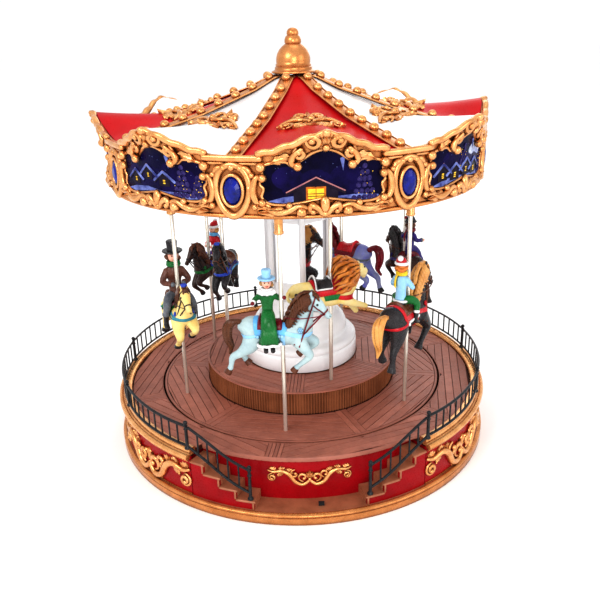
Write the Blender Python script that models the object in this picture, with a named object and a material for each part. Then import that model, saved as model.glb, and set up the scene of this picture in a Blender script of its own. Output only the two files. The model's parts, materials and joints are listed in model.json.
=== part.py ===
"""Carousel music box: a tabletop roundabout on a round stage, with a spinning canopy.

Lengths are in millimetres until a vertex is written, where they become metres.
Azimuth 0 faces the front (-Y) and grows towards +X, which is the way the carousel turns.
"""
import math

import bmesh
import bpy
from mathutils import Matrix, Vector

MM = 0.001
GAP = 0.3
SWITCH_R = 140.0
SWITCH_AZ = 4.8

# stage
STAGE_AZ = 1.8
PLINTH_R = 150.5
PLINTH_TOP = 8.5
PLATE_T = 2.5
WALL_R = 147.0
WALL_T = 2.5
WALL_TOP = 38.7
RECESS_R = 132.0
RECESS_HALF = 33.8
LANDING_HALF = 15.1
STEP_AZ = (15.1, 20.0, 24.7, 29.5, 33.5)
STEP_Z = (15.3, 22.4, 29.5, 36.6)
DECK_TOP = 42.0
DECK_T = 3.0
DECK_IN_R = 115.0
DECK_OUT_R = 139.2
DECK_LIP_R = 133.5
FENCE_R = 145.0
FENCE_HALF = 34.8
FENCE_SPANS = 9
BALUSTERS = 5
FENCE_FOOT = 44.8
FENCE_TOP = 62.9
BALL_TOP = 66.2
SIDES = 48

# turning group
TURN_R = 113.5
PLATFORM_R = 77.2
PLATFORM_TOP = 60.3
SHAFT_R = 3.6
COLUMN_AZ = 7.0
COLUMN_R = 27.0
COLUMN_FOOT = 112.0
COLUMN_TOP = 207.7
WINDOW_Z = (126.0, 173.0)
WINDOW_EDGE = 0.16
MIRROR_GAP = 3.0
MIRROR_T = 1.2
CEILING_Z = 208.0
CEILING_T = 2.5
CEILING_R = 132.8
SECTORS = 8
CREST_AZ = 6.8
CORNICE_R = 136.8
CORNICE_FOOT = 207.2
CORNICE_TOP = 243.0
CREST_R = 150.0
CREST_TOP = 261.7
ROOF_EYE_R = 12.0
FINIAL_TOP = 311.0

# poles
POLE_R = 1.5
POLE_HOLE_R = 2.0
POLE_FOOT = 28.0
POLE_TOP = 205.0
SLEEVE_R = 3.5
SLEEVE_FOOT = 188.0
OUTER_R = 98.5
OUTER_AZ = (-7.0, 53.0, 113.0, 173.0, -127.0, -67.0)
INNER_R = 61.0
INNER_AZ = (22.0, 142.0, -98.0)
CAM_FOOT = 2.8
CAM_LOW = 4.0
CAM_CREST = 19.4
CAM_HALF_T = 4.0
CAM_WAVES = 3

# gear train
TOOTH_MODULE = 2.25
GEAR_TEETH = 24
PINION_TEETH = 8
GEAR_Z = (30.0, 36.0)
MOTOR_R = 12.0
MOTOR_TOP = 26.0
PINION_AZ = 90.0

COLOURS = {
    "antique_gold": ((0.62, 0.40, 0.12), 0.9, 0.35),
    "gloss_red": ((0.50, 0.02, 0.03), 0.0, 0.2),
    "gloss_white": ((0.86, 0.84, 0.80), 0.0, 0.25),
    "deck_wood": ((0.28, 0.11, 0.05), 0.0, 0.4),
    "ribbed_brown": ((0.30, 0.16, 0.07), 0.1, 0.4),
    "stair_bronze": ((0.34, 0.20, 0.09), 0.4, 0.4),
    "fence_black": ((0.02, 0.02, 0.02), 0.3, 0.35),
    "mirror": ((0.85, 0.86, 0.88), 1.0, 0.05),
    "champagne_metal": ((0.80, 0.68, 0.48), 1.0, 0.2),
    "steel": ((0.55, 0.56, 0.58), 1.0, 0.3),
    "cam_plastic": ((0.75, 0.74, 0.70), 0.0, 0.5),
    "gear_plastic": ((0.80, 0.78, 0.68), 0.0, 0.45),
    "black_plastic": ((0.03, 0.03, 0.03), 0.0, 0.5),
    "circuit_green": ((0.02, 0.20, 0.08), 0.0, 0.45),
    "horse_pale_blue": ((0.60, 0.68, 0.72), 0.0, 0.3),
    "horse_black": ((0.03, 0.03, 0.04), 0.0, 0.3),
    "horse_dark": ((0.10, 0.06, 0.05), 0.0, 0.3),
    "horse_grey": ((0.45, 0.42, 0.38), 0.0, 0.3),
    "horse_brown": ((0.16, 0.07, 0.04), 0.0, 0.3),
    "horse_yellow": ((0.80, 0.68, 0.34), 0.0, 0.3),
    "horse_violet": ((0.22, 0.22, 0.48), 0.0, 0.3),
    "lion_yellow": ((0.78, 0.52, 0.14), 0.0, 0.3),
    "dress_green": ((0.05, 0.28, 0.14), 0.0, 0.35),
    "jumper_blue": ((0.35, 0.62, 0.80), 0.0, 0.35),
    "dress_navy": ((0.06, 0.06, 0.20), 0.0, 0.35),
    "coat_tan": ((0.45, 0.30, 0.15), 0.0, 0.35),
    "coat_red": ((0.55, 0.04, 0.04), 0.0, 0.35),
    "coat_brown": ((0.22, 0.12, 0.06), 0.0, 0.35),
}


def material(name):
    """The named Principled material, made on first use."""
    found = bpy.data.materials.get(name)
    if found:
        return found
    colour, metallic, roughness = COLOURS[name]
    made = bpy.data.materials.new(name)
    made.use_nodes = True
    shader = made.node_tree.nodes["Principled BSDF"]
    shader.inputs["Base Color"].default_value = (*colour, 1.0)
    shader.inputs["Metallic"].default_value = metallic
    shader.inputs["Roughness"].default_value = roughness
    made.diffuse_color = (*colour, 1.0)
    return made


def polar(radius, azimuth, height):
    """The point at a radius, azimuth in degrees and height."""
    angle = math.radians(azimuth)
    return (radius * math.sin(angle), -radius * math.cos(angle), height)


def solid(name, points, faces, colour=None, smooth=False):
    """An object from points in mm; shared points are merged and flat faces dropped."""
    seen = {}
    index = []
    unique = []
    for point in points:
        key = tuple(round(value, 4) for value in point)
        if key not in seen:
            seen[key] = len(unique)
            unique.append([value * MM for value in point])
        index.append(seen[key])
    mesh = bpy.data.meshes.new(name)
    shell = bmesh.new()
    corners = [shell.verts.new(point) for point in unique]
    for face in faces:
        loop = []
        for item in face:
            if index[item] not in loop:
                loop.append(index[item])
        if len(loop) > 2:
            shell.faces.new([corners[item] for item in loop])
    bmesh.ops.recalc_face_normals(shell, faces=shell.faces)
    shell.to_mesh(mesh)
    shell.free()
    thing = bpy.data.objects.new(name, mesh)
    bpy.context.scene.collection.objects.link(thing)
    if colour:
        mesh.materials.append(material(colour))
    for face in mesh.polygons:
        face.use_smooth = smooth
    return thing


def turned(name, profile, colour=None, sides=SIDES, start=0.0, sweep=360.0, at=(0.0, 0.0)):
    """A closed (radius, height) outline turned about an upright axis at a given x, y."""
    whole = sweep >= 360.0
    count = sides if whole else sides + 1
    size = len(profile)
    points = []
    for step in range(count):
        azimuth = start + sweep * step / sides
        for radius, height in profile:
            x, y, z = polar(radius, azimuth, height)
            points.append((x + at[0], y + at[1], z))
    faces = []
    for step in range(sides):
        here = step * size
        there = ((step + 1) % count) * size
        for item in range(size):
            after = (item + 1) % size
            faces.append((here + item, there + item, there + after, here + after))
    if not whole:
        faces.append(tuple(range(size)))
        faces.append(tuple(range((count - 1) * size, count * size)))
    return solid(name, points, faces, colour, smooth=True)


def cell_solid(name, cells, front, back, colour=None, wrap=0):
    """A plate of cells (column, row) between two faces, open wherever a cell is missing."""
    points = []
    faces = []

    def column(value):
        return value % wrap if wrap else value

    def add(corners):
        first = len(points)
        points.extend(corners)
        faces.append(tuple(range(first, first + len(corners))))

    for i, k in sorted(cells):
        ring = [(i, k), (i + 1, k), (i + 1, k + 1), (i, k + 1)]
        ring = [(column(a), b) for a, b in ring]
        add([front(a, b) for a, b in ring])
        add([back(a, b) for a, b in reversed(ring)])
        beside = [(i, k - 1), (column(i + 1), k), (i, k + 1), (column(i - 1), k)]
        for side, other in enumerate(beside):
            if other not in cells:
                one = ring[side]
                two = ring[(side + 1) % 4]
                add([front(*one), back(*one), back(*two), front(*two)])
    return solid(name, points, faces, colour)


def block(name, low, high, colour=None):
    """A rectangular box between two corners."""
    xs = (low[0], high[0])
    ys = (low[1], high[1])
    zs = (low[2], high[2])

    def corner(side):
        return lambda i, k: (xs[i], ys[side], zs[k])

    return cell_solid(name, {(0, 0)}, corner(0), corner(1), colour)


def cylinder(name, radius, low, high, at=(0.0, 0.0), sides=8, colour=None):
    """A plain round bar standing at x, y."""
    profile = [(0.0, low), (radius, low), (radius, high), (0.0, high)]
    return turned(name, profile, colour, sides=sides, at=at)


def tube(name, path, sides=6, grow=0.0):
    """A limb: (x, y, z, half width across Y, half depth) stations, closed at both ends."""
    points = []
    last = len(path) - 1
    for item, (x, y, z, wide, deep) in enumerate(path):
        before = Vector(path[max(item - 1, 0)][:3])
        after = Vector(path[min(item + 1, last)][:3])
        along = (after - before).normalized()
        across = Vector((0.0, 1.0, 0.0))
        across = (across - along * across.dot(along)).normalized()
        up = along.cross(across)
        for turn in range(sides):
            angle = 2.0 * math.pi * (turn + 0.5) / sides
            offset = across * math.cos(angle) * (wide + grow)
            offset = offset + up * math.sin(angle) * (deep + grow)
            points.append(tuple(Vector((x, y, z)) + offset))
    faces = []
    for item in range(last):
        for turn in range(sides):
            other = (turn + 1) % sides
            here = item * sides
            there = here + sides
            faces.append((here + turn, here + other, there + other, there + turn))
    faces.append(tuple(range(sides)))
    faces.append(tuple(range(last * sides, (last + 1) * sides)))
    return solid(name, points, faces)


def combine(target, tools, operation):
    """Boolean the tools into the target, then remove them."""
    for tool in tools:
        change = target.modifiers.new("change", "BOOLEAN")
        change.operation = operation
        change.solver = "EXACT"
        change.object = tool
        bpy.context.view_layer.update()
        graph = bpy.context.evaluated_depsgraph_get()
        result = bpy.data.meshes.new_from_object(target.evaluated_get(graph))
        old = target.data
        target.modifiers.clear()
        target.data = result
        result.name = target.name
        bpy.data.meshes.remove(old)
        bpy.data.objects.remove(tool)
    return target


def joined(name, things):
    """Several separate bodies as one object."""
    shell = bmesh.new()
    for thing in things:
        shell.from_mesh(thing.data)
        bpy.data.objects.remove(thing)
    mesh = bpy.data.meshes.new(name)
    shell.to_mesh(mesh)
    shell.free()
    made = bpy.data.objects.new(name, mesh)
    bpy.context.scene.collection.objects.link(made)
    return made


def paint(thing, colour, smooth=True):
    """One material over the whole object, shaded smooth when it is rounded."""
    thing.data.materials.clear()
    thing.data.materials.append(material(colour))
    for face in thing.data.polygons:
        face.material_index = 0
        face.use_smooth = smooth
    return thing


def fuse(name, pieces, colour):
    """Union of overlapping closed pieces as one body."""
    first = pieces[0]
    combine(first, pieces[1:], "UNION")
    first.name = name
    first.data.name = name
    return paint(first, colour)


def set_origin(thing, x, y, z):
    """Move the piece's origin, not its surface."""
    shift = Vector((x * MM, y * MM, z * MM))
    thing.data.transform(Matrix.Translation(-shift))
    thing.location = shift
    return thing


def place(thing, radius, azimuth, height):
    """Carry a piece modelled facing +X to its place, keeping its own origin there."""
    x, y, z = polar(radius, azimuth, height)
    thing.data.transform(Matrix.Rotation(math.radians(azimuth), 4, "Z"))
    thing.location = (x * MM, y * MM, z * MM)
    return thing


# ---------------------------------------------------------------- stage

def build_plinth():
    flange_r = 129.0
    inner_r = 146.0
    profile = [
        (inner_r, 0.0),
        (PLINTH_R - 0.8, 0.0),
        (PLINTH_R, 1.2),
        (PLINTH_R, 6.6),
        (PLINTH_R - 1.4, PLINTH_TOP),
        (flange_r, PLINTH_TOP),
        (flange_r, PLINTH_TOP - 2.4),
        (inner_r, PLINTH_TOP - 2.4),
    ]
    turned("plinth_ring", profile, "antique_gold", sides=48)


def build_bottom():
    plate_r = 145.5
    plate = turned("bottom_plate", [(0.0, 0.0), (plate_r, 0.0), (plate_r, PLATE_T), (0.0, PLATE_T)],
                   "black_plastic", sides=48)
    door_x = 24.0
    door_y = (103.5, 124.5)
    tools = [block("door_cut", (-door_x, door_y[0], -1.0), (door_x, door_y[1], PLATE_T + 1.0))]
    screw_r = 138.0
    for azimuth in (60.0, 180.0, 300.0):
        x, y = polar(screw_r, azimuth, 0.0)[:2]
        tools.append(cylinder("screw_cut", 3.4, -1.0, 1.4, (x, y)))
    cut = joined("cuts", tools)
    paint(combine(plate, [cut], "DIFFERENCE"), "black_plastic", smooth=False)
    block("battery_cover", (-door_x + GAP, door_y[0] + GAP, 0.2),
          (door_x - GAP, door_y[1] - GAP, PLATE_T - 0.4), "black_plastic")
    for number, azimuth in enumerate((60.0, 180.0, 300.0), 1):
        x, y = polar(screw_r, azimuth, 0.0)[:2]
        cylinder("bottom_screw_%d" % number, 2.9, 0.3, 1.1, (x, y), colour="steel")
    # open tray that holds the cells over the door
    columns = (-door_x + 1.0, -door_x + 2.6, door_x - 2.6, door_x - 1.0)
    rows = (door_y[0] + 1.0, door_y[0] + 2.6, door_y[1] - 2.6, door_y[1] - 1.0)
    ring = {(i, k) for i in range(3) for k in range(3)} - {(1, 1)}
    walls = cell_solid("walls", ring,
                       lambda i, k: (columns[i], rows[k], 2.8),
                       lambda i, k: (columns[i], rows[k], 18.0))
    lid = block("lid", (columns[0] + 0.2, rows[0] + 0.2, 17.0), (columns[3] - 0.2, rows[3] - 0.2, 19.0))
    fuse("battery_tray", [walls, lid], "black_plastic")


def wall_path():
    """The stage wall in plan: (outer radius, azimuth) stations round the back, then the recess."""
    back = []
    steps = 46
    for step in range(steps + 1):
        back.append((WALL_R, RECESS_HALF + (360.0 - 2.0 * RECESS_HALF) * step / steps))
    front = []
    steps = 12
    for step in range(steps + 1):
        front.append((RECESS_R, 360.0 - RECESS_HALF + 2.0 * RECESS_HALF * step / steps))
    return back, front


def build_wall():
    back, front = wall_path()
    slip = math.degrees(WALL_T / WALL_R)
    outer = back + front
    inner = []
    for radius, azimuth in back:
        inner.append((radius - WALL_T, min(max(azimuth, RECESS_HALF + slip), 360.0 - RECESS_HALF - slip)))
    for radius, azimuth in front:
        inner.append((radius - WALL_T, azimuth))
    inner[len(back)] = (RECESS_R - WALL_T, 360.0 - RECESS_HALF - slip)
    inner[-1] = (RECESS_R - WALL_T, 360.0 + RECESS_HALF + slip)
    heights = (PLINTH_TOP + GAP, WALL_TOP)
    count = len(outer)
    cell_solid("drum_wall", {(i, 0) for i in range(count)},
               lambda i, k: polar(outer[i][0], outer[i][1] + STAGE_AZ, heights[k]),
               lambda i, k: polar(inner[i][0], inner[i][1] + STAGE_AZ, heights[k]),
               "gloss_red", wrap=count)


def build_stairs():
    levels = (PLINTH_TOP + GAP,) + STEP_Z
    cells = {(i, k) for i in range(4) for k in range(i + 1)}
    for name, sign in (("stairs_right", 1.0), ("stairs_left", -1.0)):
        cell_solid(name, cells,
                   lambda i, k: polar(WALL_R, STAGE_AZ + sign * STEP_AZ[i], levels[k]),
                   lambda i, k: polar(RECESS_R + GAP, STAGE_AZ + sign * STEP_AZ[i], levels[k]),
                   "stair_bronze")


def build_wall_scroll():
    stations = (-13.0, -11.0, -8.5, -6.0, -4.0, -2.0, 0.0, 2.0, 4.0, 6.0, 8.5, 11.0, 13.0)
    halves = (0.8, 3.2, 2.2, 4.4, 2.6, 5.2, 6.0, 5.2, 2.6, 4.4, 2.2, 3.2, 0.8)
    middle_z = 28.0

    def face(radius):
        def point(i, k):
            height = middle_z + halves[i] * (2 * k - 1)
            return polar(radius, STAGE_AZ + stations[i], height)
        return point

    cell_solid("wall_scroll", {(i, 0) for i in range(12)}, face(RECESS_R + 1.6), face(RECESS_R + GAP),
               "antique_gold")


def build_rim():
    profile = [
        (139.6, 39.0),
        (WALL_R + 0.6, 39.0),
        (WALL_R + 0.6, 36.0),
        (148.3, 36.0),
        (150.0, 38.2),
        (150.0, 40.6),
        (147.6, 42.0),
        (147.5, 44.2),
        (147.1, 44.5),
        (139.6, 44.5),
    ]
    half = RECESS_HALF + 0.2
    turned("rim_moulding", profile, "antique_gold", sides=36, start=STAGE_AZ + half, sweep=360.0 - 2 * half)


def build_deck():
    edge = []
    steps = 42
    for step in range(steps + 1):
        edge.append((DECK_OUT_R, RECESS_HALF + 0.2 + (360.0 - 2.0 * RECESS_HALF - 0.4) * step / steps))
    steps = 12
    for step in range(steps + 1):
        edge.append((DECK_LIP_R, 360.0 - RECESS_HALF + 0.4 + (2.0 * RECESS_HALF - 0.8) * step / steps))
    heights = (DECK_TOP - DECK_T, DECK_TOP)
    count = len(edge)
    cell_solid("fixed_deck", {(i, 0) for i in range(count)},
               lambda i, k: polar(edge[i][0], edge[i][1] + STAGE_AZ, heights[k]),
               lambda i, k: polar(DECK_IN_R, edge[i][1] + STAGE_AZ, heights[k]),
               "deck_wood", wrap=count)


def post(azimuth, radius, foot, top, name="post"):
    """A turned fence post with a ball on top."""
    x, y = polar(radius, azimuth, 0.0)[:2]
    neck = top - 4.2
    profile = [
        (0.0, foot),
        (2.3, foot),
        (2.3, foot + 2.0),
        (1.7, foot + 3.0),
        (1.7, neck - 0.6),
        (0.9, neck),
        (2.1, neck + 2.1),
        (0.0, top),
    ]
    return turned(name, profile, sides=8, at=(x, y))


def railing(name, azimuths, low_z, high_z, balusters):
    """Two rails and the upright bars between them, following the height functions."""
    bar_r = 0.9
    rail_t = 1.7
    columns = []
    solid_column = []
    for start, end in zip(azimuths, azimuths[1:]):
        pitch = (end - start) / (balusters + 1)
        half_bar = 0.5 * math.degrees(1.8 / FENCE_R) * (1.0 if end > start else -1.0)
        for item in range(balusters + 1):
            left = start + pitch * item
            columns.extend([left - half_bar, left + half_bar])
            solid_column.extend([True, False])
    columns = columns[1:] + [azimuths[-1] - half_bar]
    solid_column = solid_column[1:]
    cells = set()
    for i, whole in enumerate(solid_column):
        cells.add((i, 0))
        cells.add((i, 2))
        if whole:
            cells.add((i, 1))

    def point(radius):
        def at(i, k):
            azimuth = columns[i]
            low = low_z(azimuth)
            high = high_z(azimuth)
            levels = (low, low + rail_t, high - rail_t, high)
            return polar(radius, STAGE_AZ + azimuth, levels[k])
        return at

    return cell_solid(name, cells, point(FENCE_R + bar_r), point(FENCE_R - bar_r))


def build_fence():
    span = (360.0 - 2.0 * FENCE_HALF) / FENCE_SPANS
    azimuths = [FENCE_HALF + span * item for item in range(FENCE_SPANS + 1)]
    rails = railing("rails", azimuths, lambda a: 45.8, lambda a: FENCE_TOP, BALUSTERS)
    posts = [post(STAGE_AZ + azimuth, FENCE_R, FENCE_FOOT, BALL_TOP) for azimuth in azimuths]
    fuse("fence", [rails, joined("posts", posts)], "fence_black")
    for name, sign in (("stair_rail_right", 1.0), ("stair_rail_left", -1.0)):
        low_az = 16.2
        high_az = FENCE_HALF - 1.3

        def slope(azimuth, low, high):
            share = (abs(azimuth) - low_az) / (high_az - low_az)
            return low + (high - low) * share

        rails = railing("rails", [sign * low_az, sign * high_az],
                        lambda a: slope(a, 20.0, 43.4), lambda a: slope(a, 36.8, 60.2), 5)
        foot = post(STAGE_AZ + sign * low_az, FENCE_R, STEP_Z[0] + GAP, 42.0)
        fuse(name, [rails, foot], "fence_black")


def build_switch():
    x, y, foot = polar(SWITCH_R, SWITCH_AZ, PLINTH_TOP + GAP)
    knob = block("power_switch", (x - 2.0, y - 1.2, foot), (x + 2.0, y + 1.2, foot + 1.9), "black_plastic")
    set_origin(knob, x, y, foot)


# ---------------------------------------------------------------- movement

def build_cam(name, radius):
    """A fixed wave ring that lifts and lowers the pole feet as they pass over it."""
    steps = 36
    middle = 0.5 * (CAM_LOW + CAM_CREST)
    swing = 0.5 * (CAM_CREST - CAM_LOW)

    def point(r):
        def at(i, k):
            azimuth = 360.0 * i / steps
            top = middle + swing * math.sin(math.radians(CAM_WAVES * (azimuth + 7.0)))
            return polar(r, azimuth, top if k else CAM_FOOT)
        return at

    cell_solid(name, {(i, 0) for i in range(steps)}, point(radius + CAM_HALF_T), point(radius - CAM_HALF_T),
               "cam_plastic", wrap=steps)


def gear_outline(teeth, phase):
    """Straight-sided teeth with backlash, as (radius, angle in degrees) points."""
    pitch_r = 0.5 * TOOTH_MODULE * teeth
    pitch = 360.0 / teeth
    tip = pitch_r + 0.80 * TOOTH_MODULE
    root = pitch_r - 1.15 * TOOTH_MODULE
    outline = []
    for tooth in range(teeth):
        middle = phase + pitch * tooth
        outline.append((root, middle - 0.30 * pitch))
        outline.append((tip, middle - 0.08 * pitch))
        outline.append((tip, middle + 0.08 * pitch))
        outline.append((root, middle + 0.30 * pitch))
    return outline


def gear(name, teeth, phase, bore, centre):
    outline = gear_outline(teeth, phase)

    def edge(i, k):
        x, y, z = polar(outline[i][0], outline[i][1], GEAR_Z[k])
        return (x + centre[0], y + centre[1], z)

    def inside(i, k):
        x, y, z = polar(bore, outline[i][1], GEAR_Z[k])
        return (x + centre[0], y + centre[1], z)

    return cell_solid(name, {(i, 0) for i in range(len(outline))}, edge, inside, "gear_plastic",
                      wrap=len(outline))


def build_movement():
    build_cam("outer_cam", OUTER_R)
    build_cam("inner_cam", INNER_R)
    bearing = [(SHAFT_R + 0.4, 4.4), (SHAFT_R + 0.4, 16.0), (8.0, 16.0), (8.0, 6.0), (14.0, 4.6), (14.0, 2.8),
               (0.0, 2.8), (0.0, 4.4)]
    turned("centre_bearing", bearing, "black_plastic", sides=16)
    gear("main_gear", GEAR_TEETH, 0.0, SHAFT_R + GAP, (0.0, 0.0))
    reach = 0.5 * TOOTH_MODULE * (GEAR_TEETH + PINION_TEETH)
    x, y = polar(reach, PINION_AZ, 0.0)[:2]
    half_pitch = 180.0 / PINION_TEETH
    wheel = gear("wheel", PINION_TEETH, PINION_AZ + 180.0 + half_pitch, 1.0, (x, y))
    stub = cylinder("stub", 1.5, MOTOR_TOP - 5.0, GEAR_Z[1] + 1.0, (x, y), sides=10)
    set_origin(fuse("drive_pinion", [wheel, stub], "gear_plastic"), x, y, GEAR_Z[0])
    motor = [(0.0, CAM_FOOT), (MOTOR_R, CAM_FOOT), (MOTOR_R, MOTOR_TOP), (1.9, MOTOR_TOP),
             (1.9, MOTOR_TOP - 5.6), (0.0, MOTOR_TOP - 5.6)]
    turned("gear_motor", motor, "steel", sides=16, at=(x, y))
    x, y = polar(79.5, 165.0, 0.0)[:2]
    cone = [(0.0, 2.8), (12.5, 2.8), (12.5, 5.0), (6.0, 10.0), (6.0, 14.0), (0.0, 14.0)]
    turned("speaker", cone, "black_plastic", sides=16, at=(x, y))
    x, y = polar(79.5, -60.0, 0.0)[:2]
    block("circuit_board", (x - 9.0, y - 9.0, 5.0), (x + 9.0, y + 9.0, 6.6), "circuit_green")


# ---------------------------------------------------------------- turning group

def pole_places():
    outer = [(OUTER_R, azimuth) for azimuth in OUTER_AZ]
    inner = [(INNER_R, azimuth) for azimuth in INNER_AZ]
    return outer, inner


def drills(places, radius, low, high, sides=8):
    bars = []
    for distance, azimuth in places:
        x, y = polar(distance, azimuth, 0.0)[:2]
        bars.append(cylinder("bar", radius, low, high, (x, y), sides))
    return joined("bars", bars)


def build_turntable():
    outer, inner = pole_places()
    hub = SHAFT_R + GAP
    low = DECK_TOP - DECK_T
    disc = turned("turntable", [(hub, low), (TURN_R, low), (TURN_R, DECK_TOP), (hub, DECK_TOP)], sides=SIDES)
    combine(disc, [drills(outer + inner, POLE_HOLE_R, low - 1.0, DECK_TOP + 1.0)], "DIFFERENCE")
    paint(disc, "deck_wood", smooth=False)
    foot = DECK_TOP + GAP
    wall = 2.5
    profile = [(hub, PLATFORM_TOP), (PLATFORM_R, PLATFORM_TOP), (PLATFORM_R, foot),
               (PLATFORM_R - wall, foot), (PLATFORM_R - wall, PLATFORM_TOP - wall),
               (hub, PLATFORM_TOP - wall)]
    platform = turned("raised_platform", profile, sides=40)
    combine(platform, [drills(inner, POLE_HOLE_R, PLATFORM_TOP - 5.0, PLATFORM_TOP + 1.0)], "DIFFERENCE")
    paint(platform, "ribbed_brown", smooth=False)
    cylinder("centre_shaft", SHAFT_R, 4.8, 204.0, sides=12, colour="steel")


def hexagon(radius, i, height):
    return polar(radius, COLUMN_AZ + 60.0 * i, height)


def build_column():
    foot = PLATFORM_TOP + GAP
    top = COLUMN_FOOT
    profile = [(8.0, foot), (46.2, foot), (46.2, 72.5), (44.0, 75.5), (39.2, 79.0), (37.5, 82.0),
               (37.0, 88.0), (32.0, 96.5), (28.6, 104.0), (28.0, top), (8.0, top)]
    turned("column_base", profile, "gloss_white", sides=24)
    # six-sided frame with a window in every side
    levels = (top + GAP, *WINDOW_Z, COLUMN_TOP)
    # each corner is two columns of cells folded about the post, each side is another
    edges = []
    for side in range(6):
        edges.extend([side - WINDOW_EDGE, side, side + WINDOW_EDGE])
    count = len(edges)

    def on_side(radius):
        def at(i, k):
            side = math.floor(edges[i])
            one = Vector(hexagon(radius, side, levels[k]))
            two = Vector(hexagon(radius, side + 1, levels[k]))
            return tuple(one.lerp(two, edges[i] - side))
        return at

    cells = set()
    for i in range(count):
        cells.add((i, 0))
        cells.add((i, 2))
        if i % 3 != 2:
            cells.add((i, 1))
    cell_solid("column_frame", cells, on_side(COLUMN_R), on_side(COLUMN_R - 2.6), "gloss_white", wrap=count)
    heights = (top + 2.0, COLUMN_TOP - 20.0)
    mirror_r = COLUMN_R - MIRROR_GAP
    cell_solid("mirror_sleeve", {(i, 0) for i in range(6)},
               lambda i, k: hexagon(mirror_r, i, heights[k]),
               lambda i, k: hexagon(mirror_r - MIRROR_T, i, heights[k]), "mirror", wrap=6)


def crest_share(offset):
    """How far the crest has risen at an angle from the middle of its panel: 0 to 1."""
    half = 180.0 / SECTORS
    share = 0.5 * (1.0 + math.cos(math.pi * offset / half))
    return share ** 1.3


def build_ceiling():
    outer, inner = pole_places()
    hub = SHAFT_R + GAP
    high = CEILING_Z + CEILING_T
    plate = turned("canopy_ceiling", [(hub, CEILING_Z), (CEILING_R, CEILING_Z), (CEILING_R, high), (hub, high)],
                   sides=48)
    sleeves = drills(outer + inner, SLEEVE_R, SLEEVE_FOOT, CEILING_Z + 1.0)
    combine(plate, [sleeves], "UNION")
    combine(plate, [drills(outer + inner, POLE_HOLE_R, SLEEVE_FOOT - 1.0, high + 1.0)], "DIFFERENCE")
    paint(plate, "gloss_white", smooth=False)


RIB_LINE = ((19.0, 278.0), (34.0, 271.0), (75.0, 257.2), (132.6, 243.4))


def roof_height(radius):
    """Height of the ribs' upper face at a radius, straight between stations."""
    previous = (ROOF_EYE_R, 280.0)
    for station in RIB_LINE:
        if radius <= station[0]:
            share = (radius - previous[0]) / (station[0] - previous[0])
            return previous[1] + (station[1] - previous[1]) * share
        previous = station
    return RIB_LINE[-1][1]


def build_roof():
    pitch = 360.0 / SECTORS
    offsets = (-18.9, -12.6, -6.3, 0.0, 6.3, 12.6, 18.9)
    azimuths = []
    shares = []
    for sector in range(SECTORS):
        for offset in offsets:
            azimuths.append(CREST_AZ + pitch * sector + offset)
            # flat under the ribs
            shares.append(0.0 if abs(offset) == offsets[-1] else crest_share(offset))
    rib_t = 1.3
    shell_t = 2.4
    low_edge_r = CORNICE_R - 5.4
    # the shell and the ribs bend at the same radii, so the ribs lie evenly on it
    radii = (ROOF_EYE_R, 19.0, 34.0, 75.0, low_edge_r)
    last = len(radii) - 1

    def skin(drop):
        def at(i, k):
            spread = (CREST_R - CORNICE_R - 2.6) * shares[i] if k == last else 0.0
            lift = (CREST_TOP - CORNICE_TOP - 2.0) * shares[i] if k == last else 0.0
            height = roof_height(radii[k]) - rib_t - GAP - drop + lift
            return polar(radii[k] + spread, azimuths[i], height)
        return at

    count = len(azimuths)
    cells = {(i, k) for i in range(count) for k in range(last)}
    cell_solid("roof_shell", cells, skin(0.0), skin(shell_t), "gloss_red", wrap=count)
    # the gold ribs meet in a ring under the finial
    half_width = 4.5
    spread = math.degrees(math.atan(half_width / radii[1]))

    def rib(drop):
        def at(i, k):
            sector = i // 2
            side = -1.0 if i % 2 == 0 else 1.0
            azimuth = CREST_AZ + 22.5 + pitch * sector
            radius = radii[k]
            swing = spread if k < 2 else math.degrees(math.asin(half_width / radius))
            return polar(radius, azimuth + side * swing, roof_height(radius) - drop)
        return at

    cells = set()
    for sector in range(SECTORS):
        for k in range(len(radii) - 1):
            cells.add((2 * sector, k))
        cells.add((2 * sector + 1, 0))
    cell_solid("roof_ribs", cells, rib(0.0), rib(rib_t), "antique_gold", wrap=2 * SECTORS)


def build_cornice():
    pitch = 360.0 / SECTORS
    offsets = (-22.5, -20.0, -14.0, -7.0, 0.0, 7.0, 14.0, 20.0)
    azimuths = []
    shares = []
    posts = []
    for sector in range(SECTORS):
        for offset in offsets:
            azimuths.append(CREST_AZ + pitch * sector + offset)
            shares.append(crest_share(offset))
            posts.append(1.6 if offset == offsets[0] else 0.0)
    thick = 2.8

    def face(inset):
        def at(i, k):
            share = shares[i]
            rows = (
                (CORNICE_R, CORNICE_FOOT),
                (CORNICE_R + posts[i], 212.0),
                (CORNICE_R - 0.8 + posts[i] + 3.0 * share, CORNICE_TOP),
                (CORNICE_R + (CREST_R - CORNICE_R) * share, 244.6 + (CREST_TOP - 244.6) * share),
            )
            radius, height = rows[k]
            if inset:
                radius = radius - thick - posts[i] * (k in (1, 2))
            return polar(radius, azimuths[i], height)
        return at

    count = len(azimuths)
    cell_solid("cornice", {(i, k) for i in range(count) for k in range(3)}, face(False), face(True),
               "antique_gold", wrap=count)


def build_finial():
    foot = 280.4
    profile = [(0.0, foot), (15.8, foot), (15.8, 281.6), (13.1, 284.0), (13.1, 286.0), (11.2, 290.0),
               (8.6, 296.5), (4.2, 300.0), (5.8, 303.2), (4.4, 306.5), (1.4, 309.6), (0.0, FINIAL_TOP)]
    turned("finial", profile, "antique_gold", sides=20)


# ---------------------------------------------------------------- riders and mounts

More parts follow.
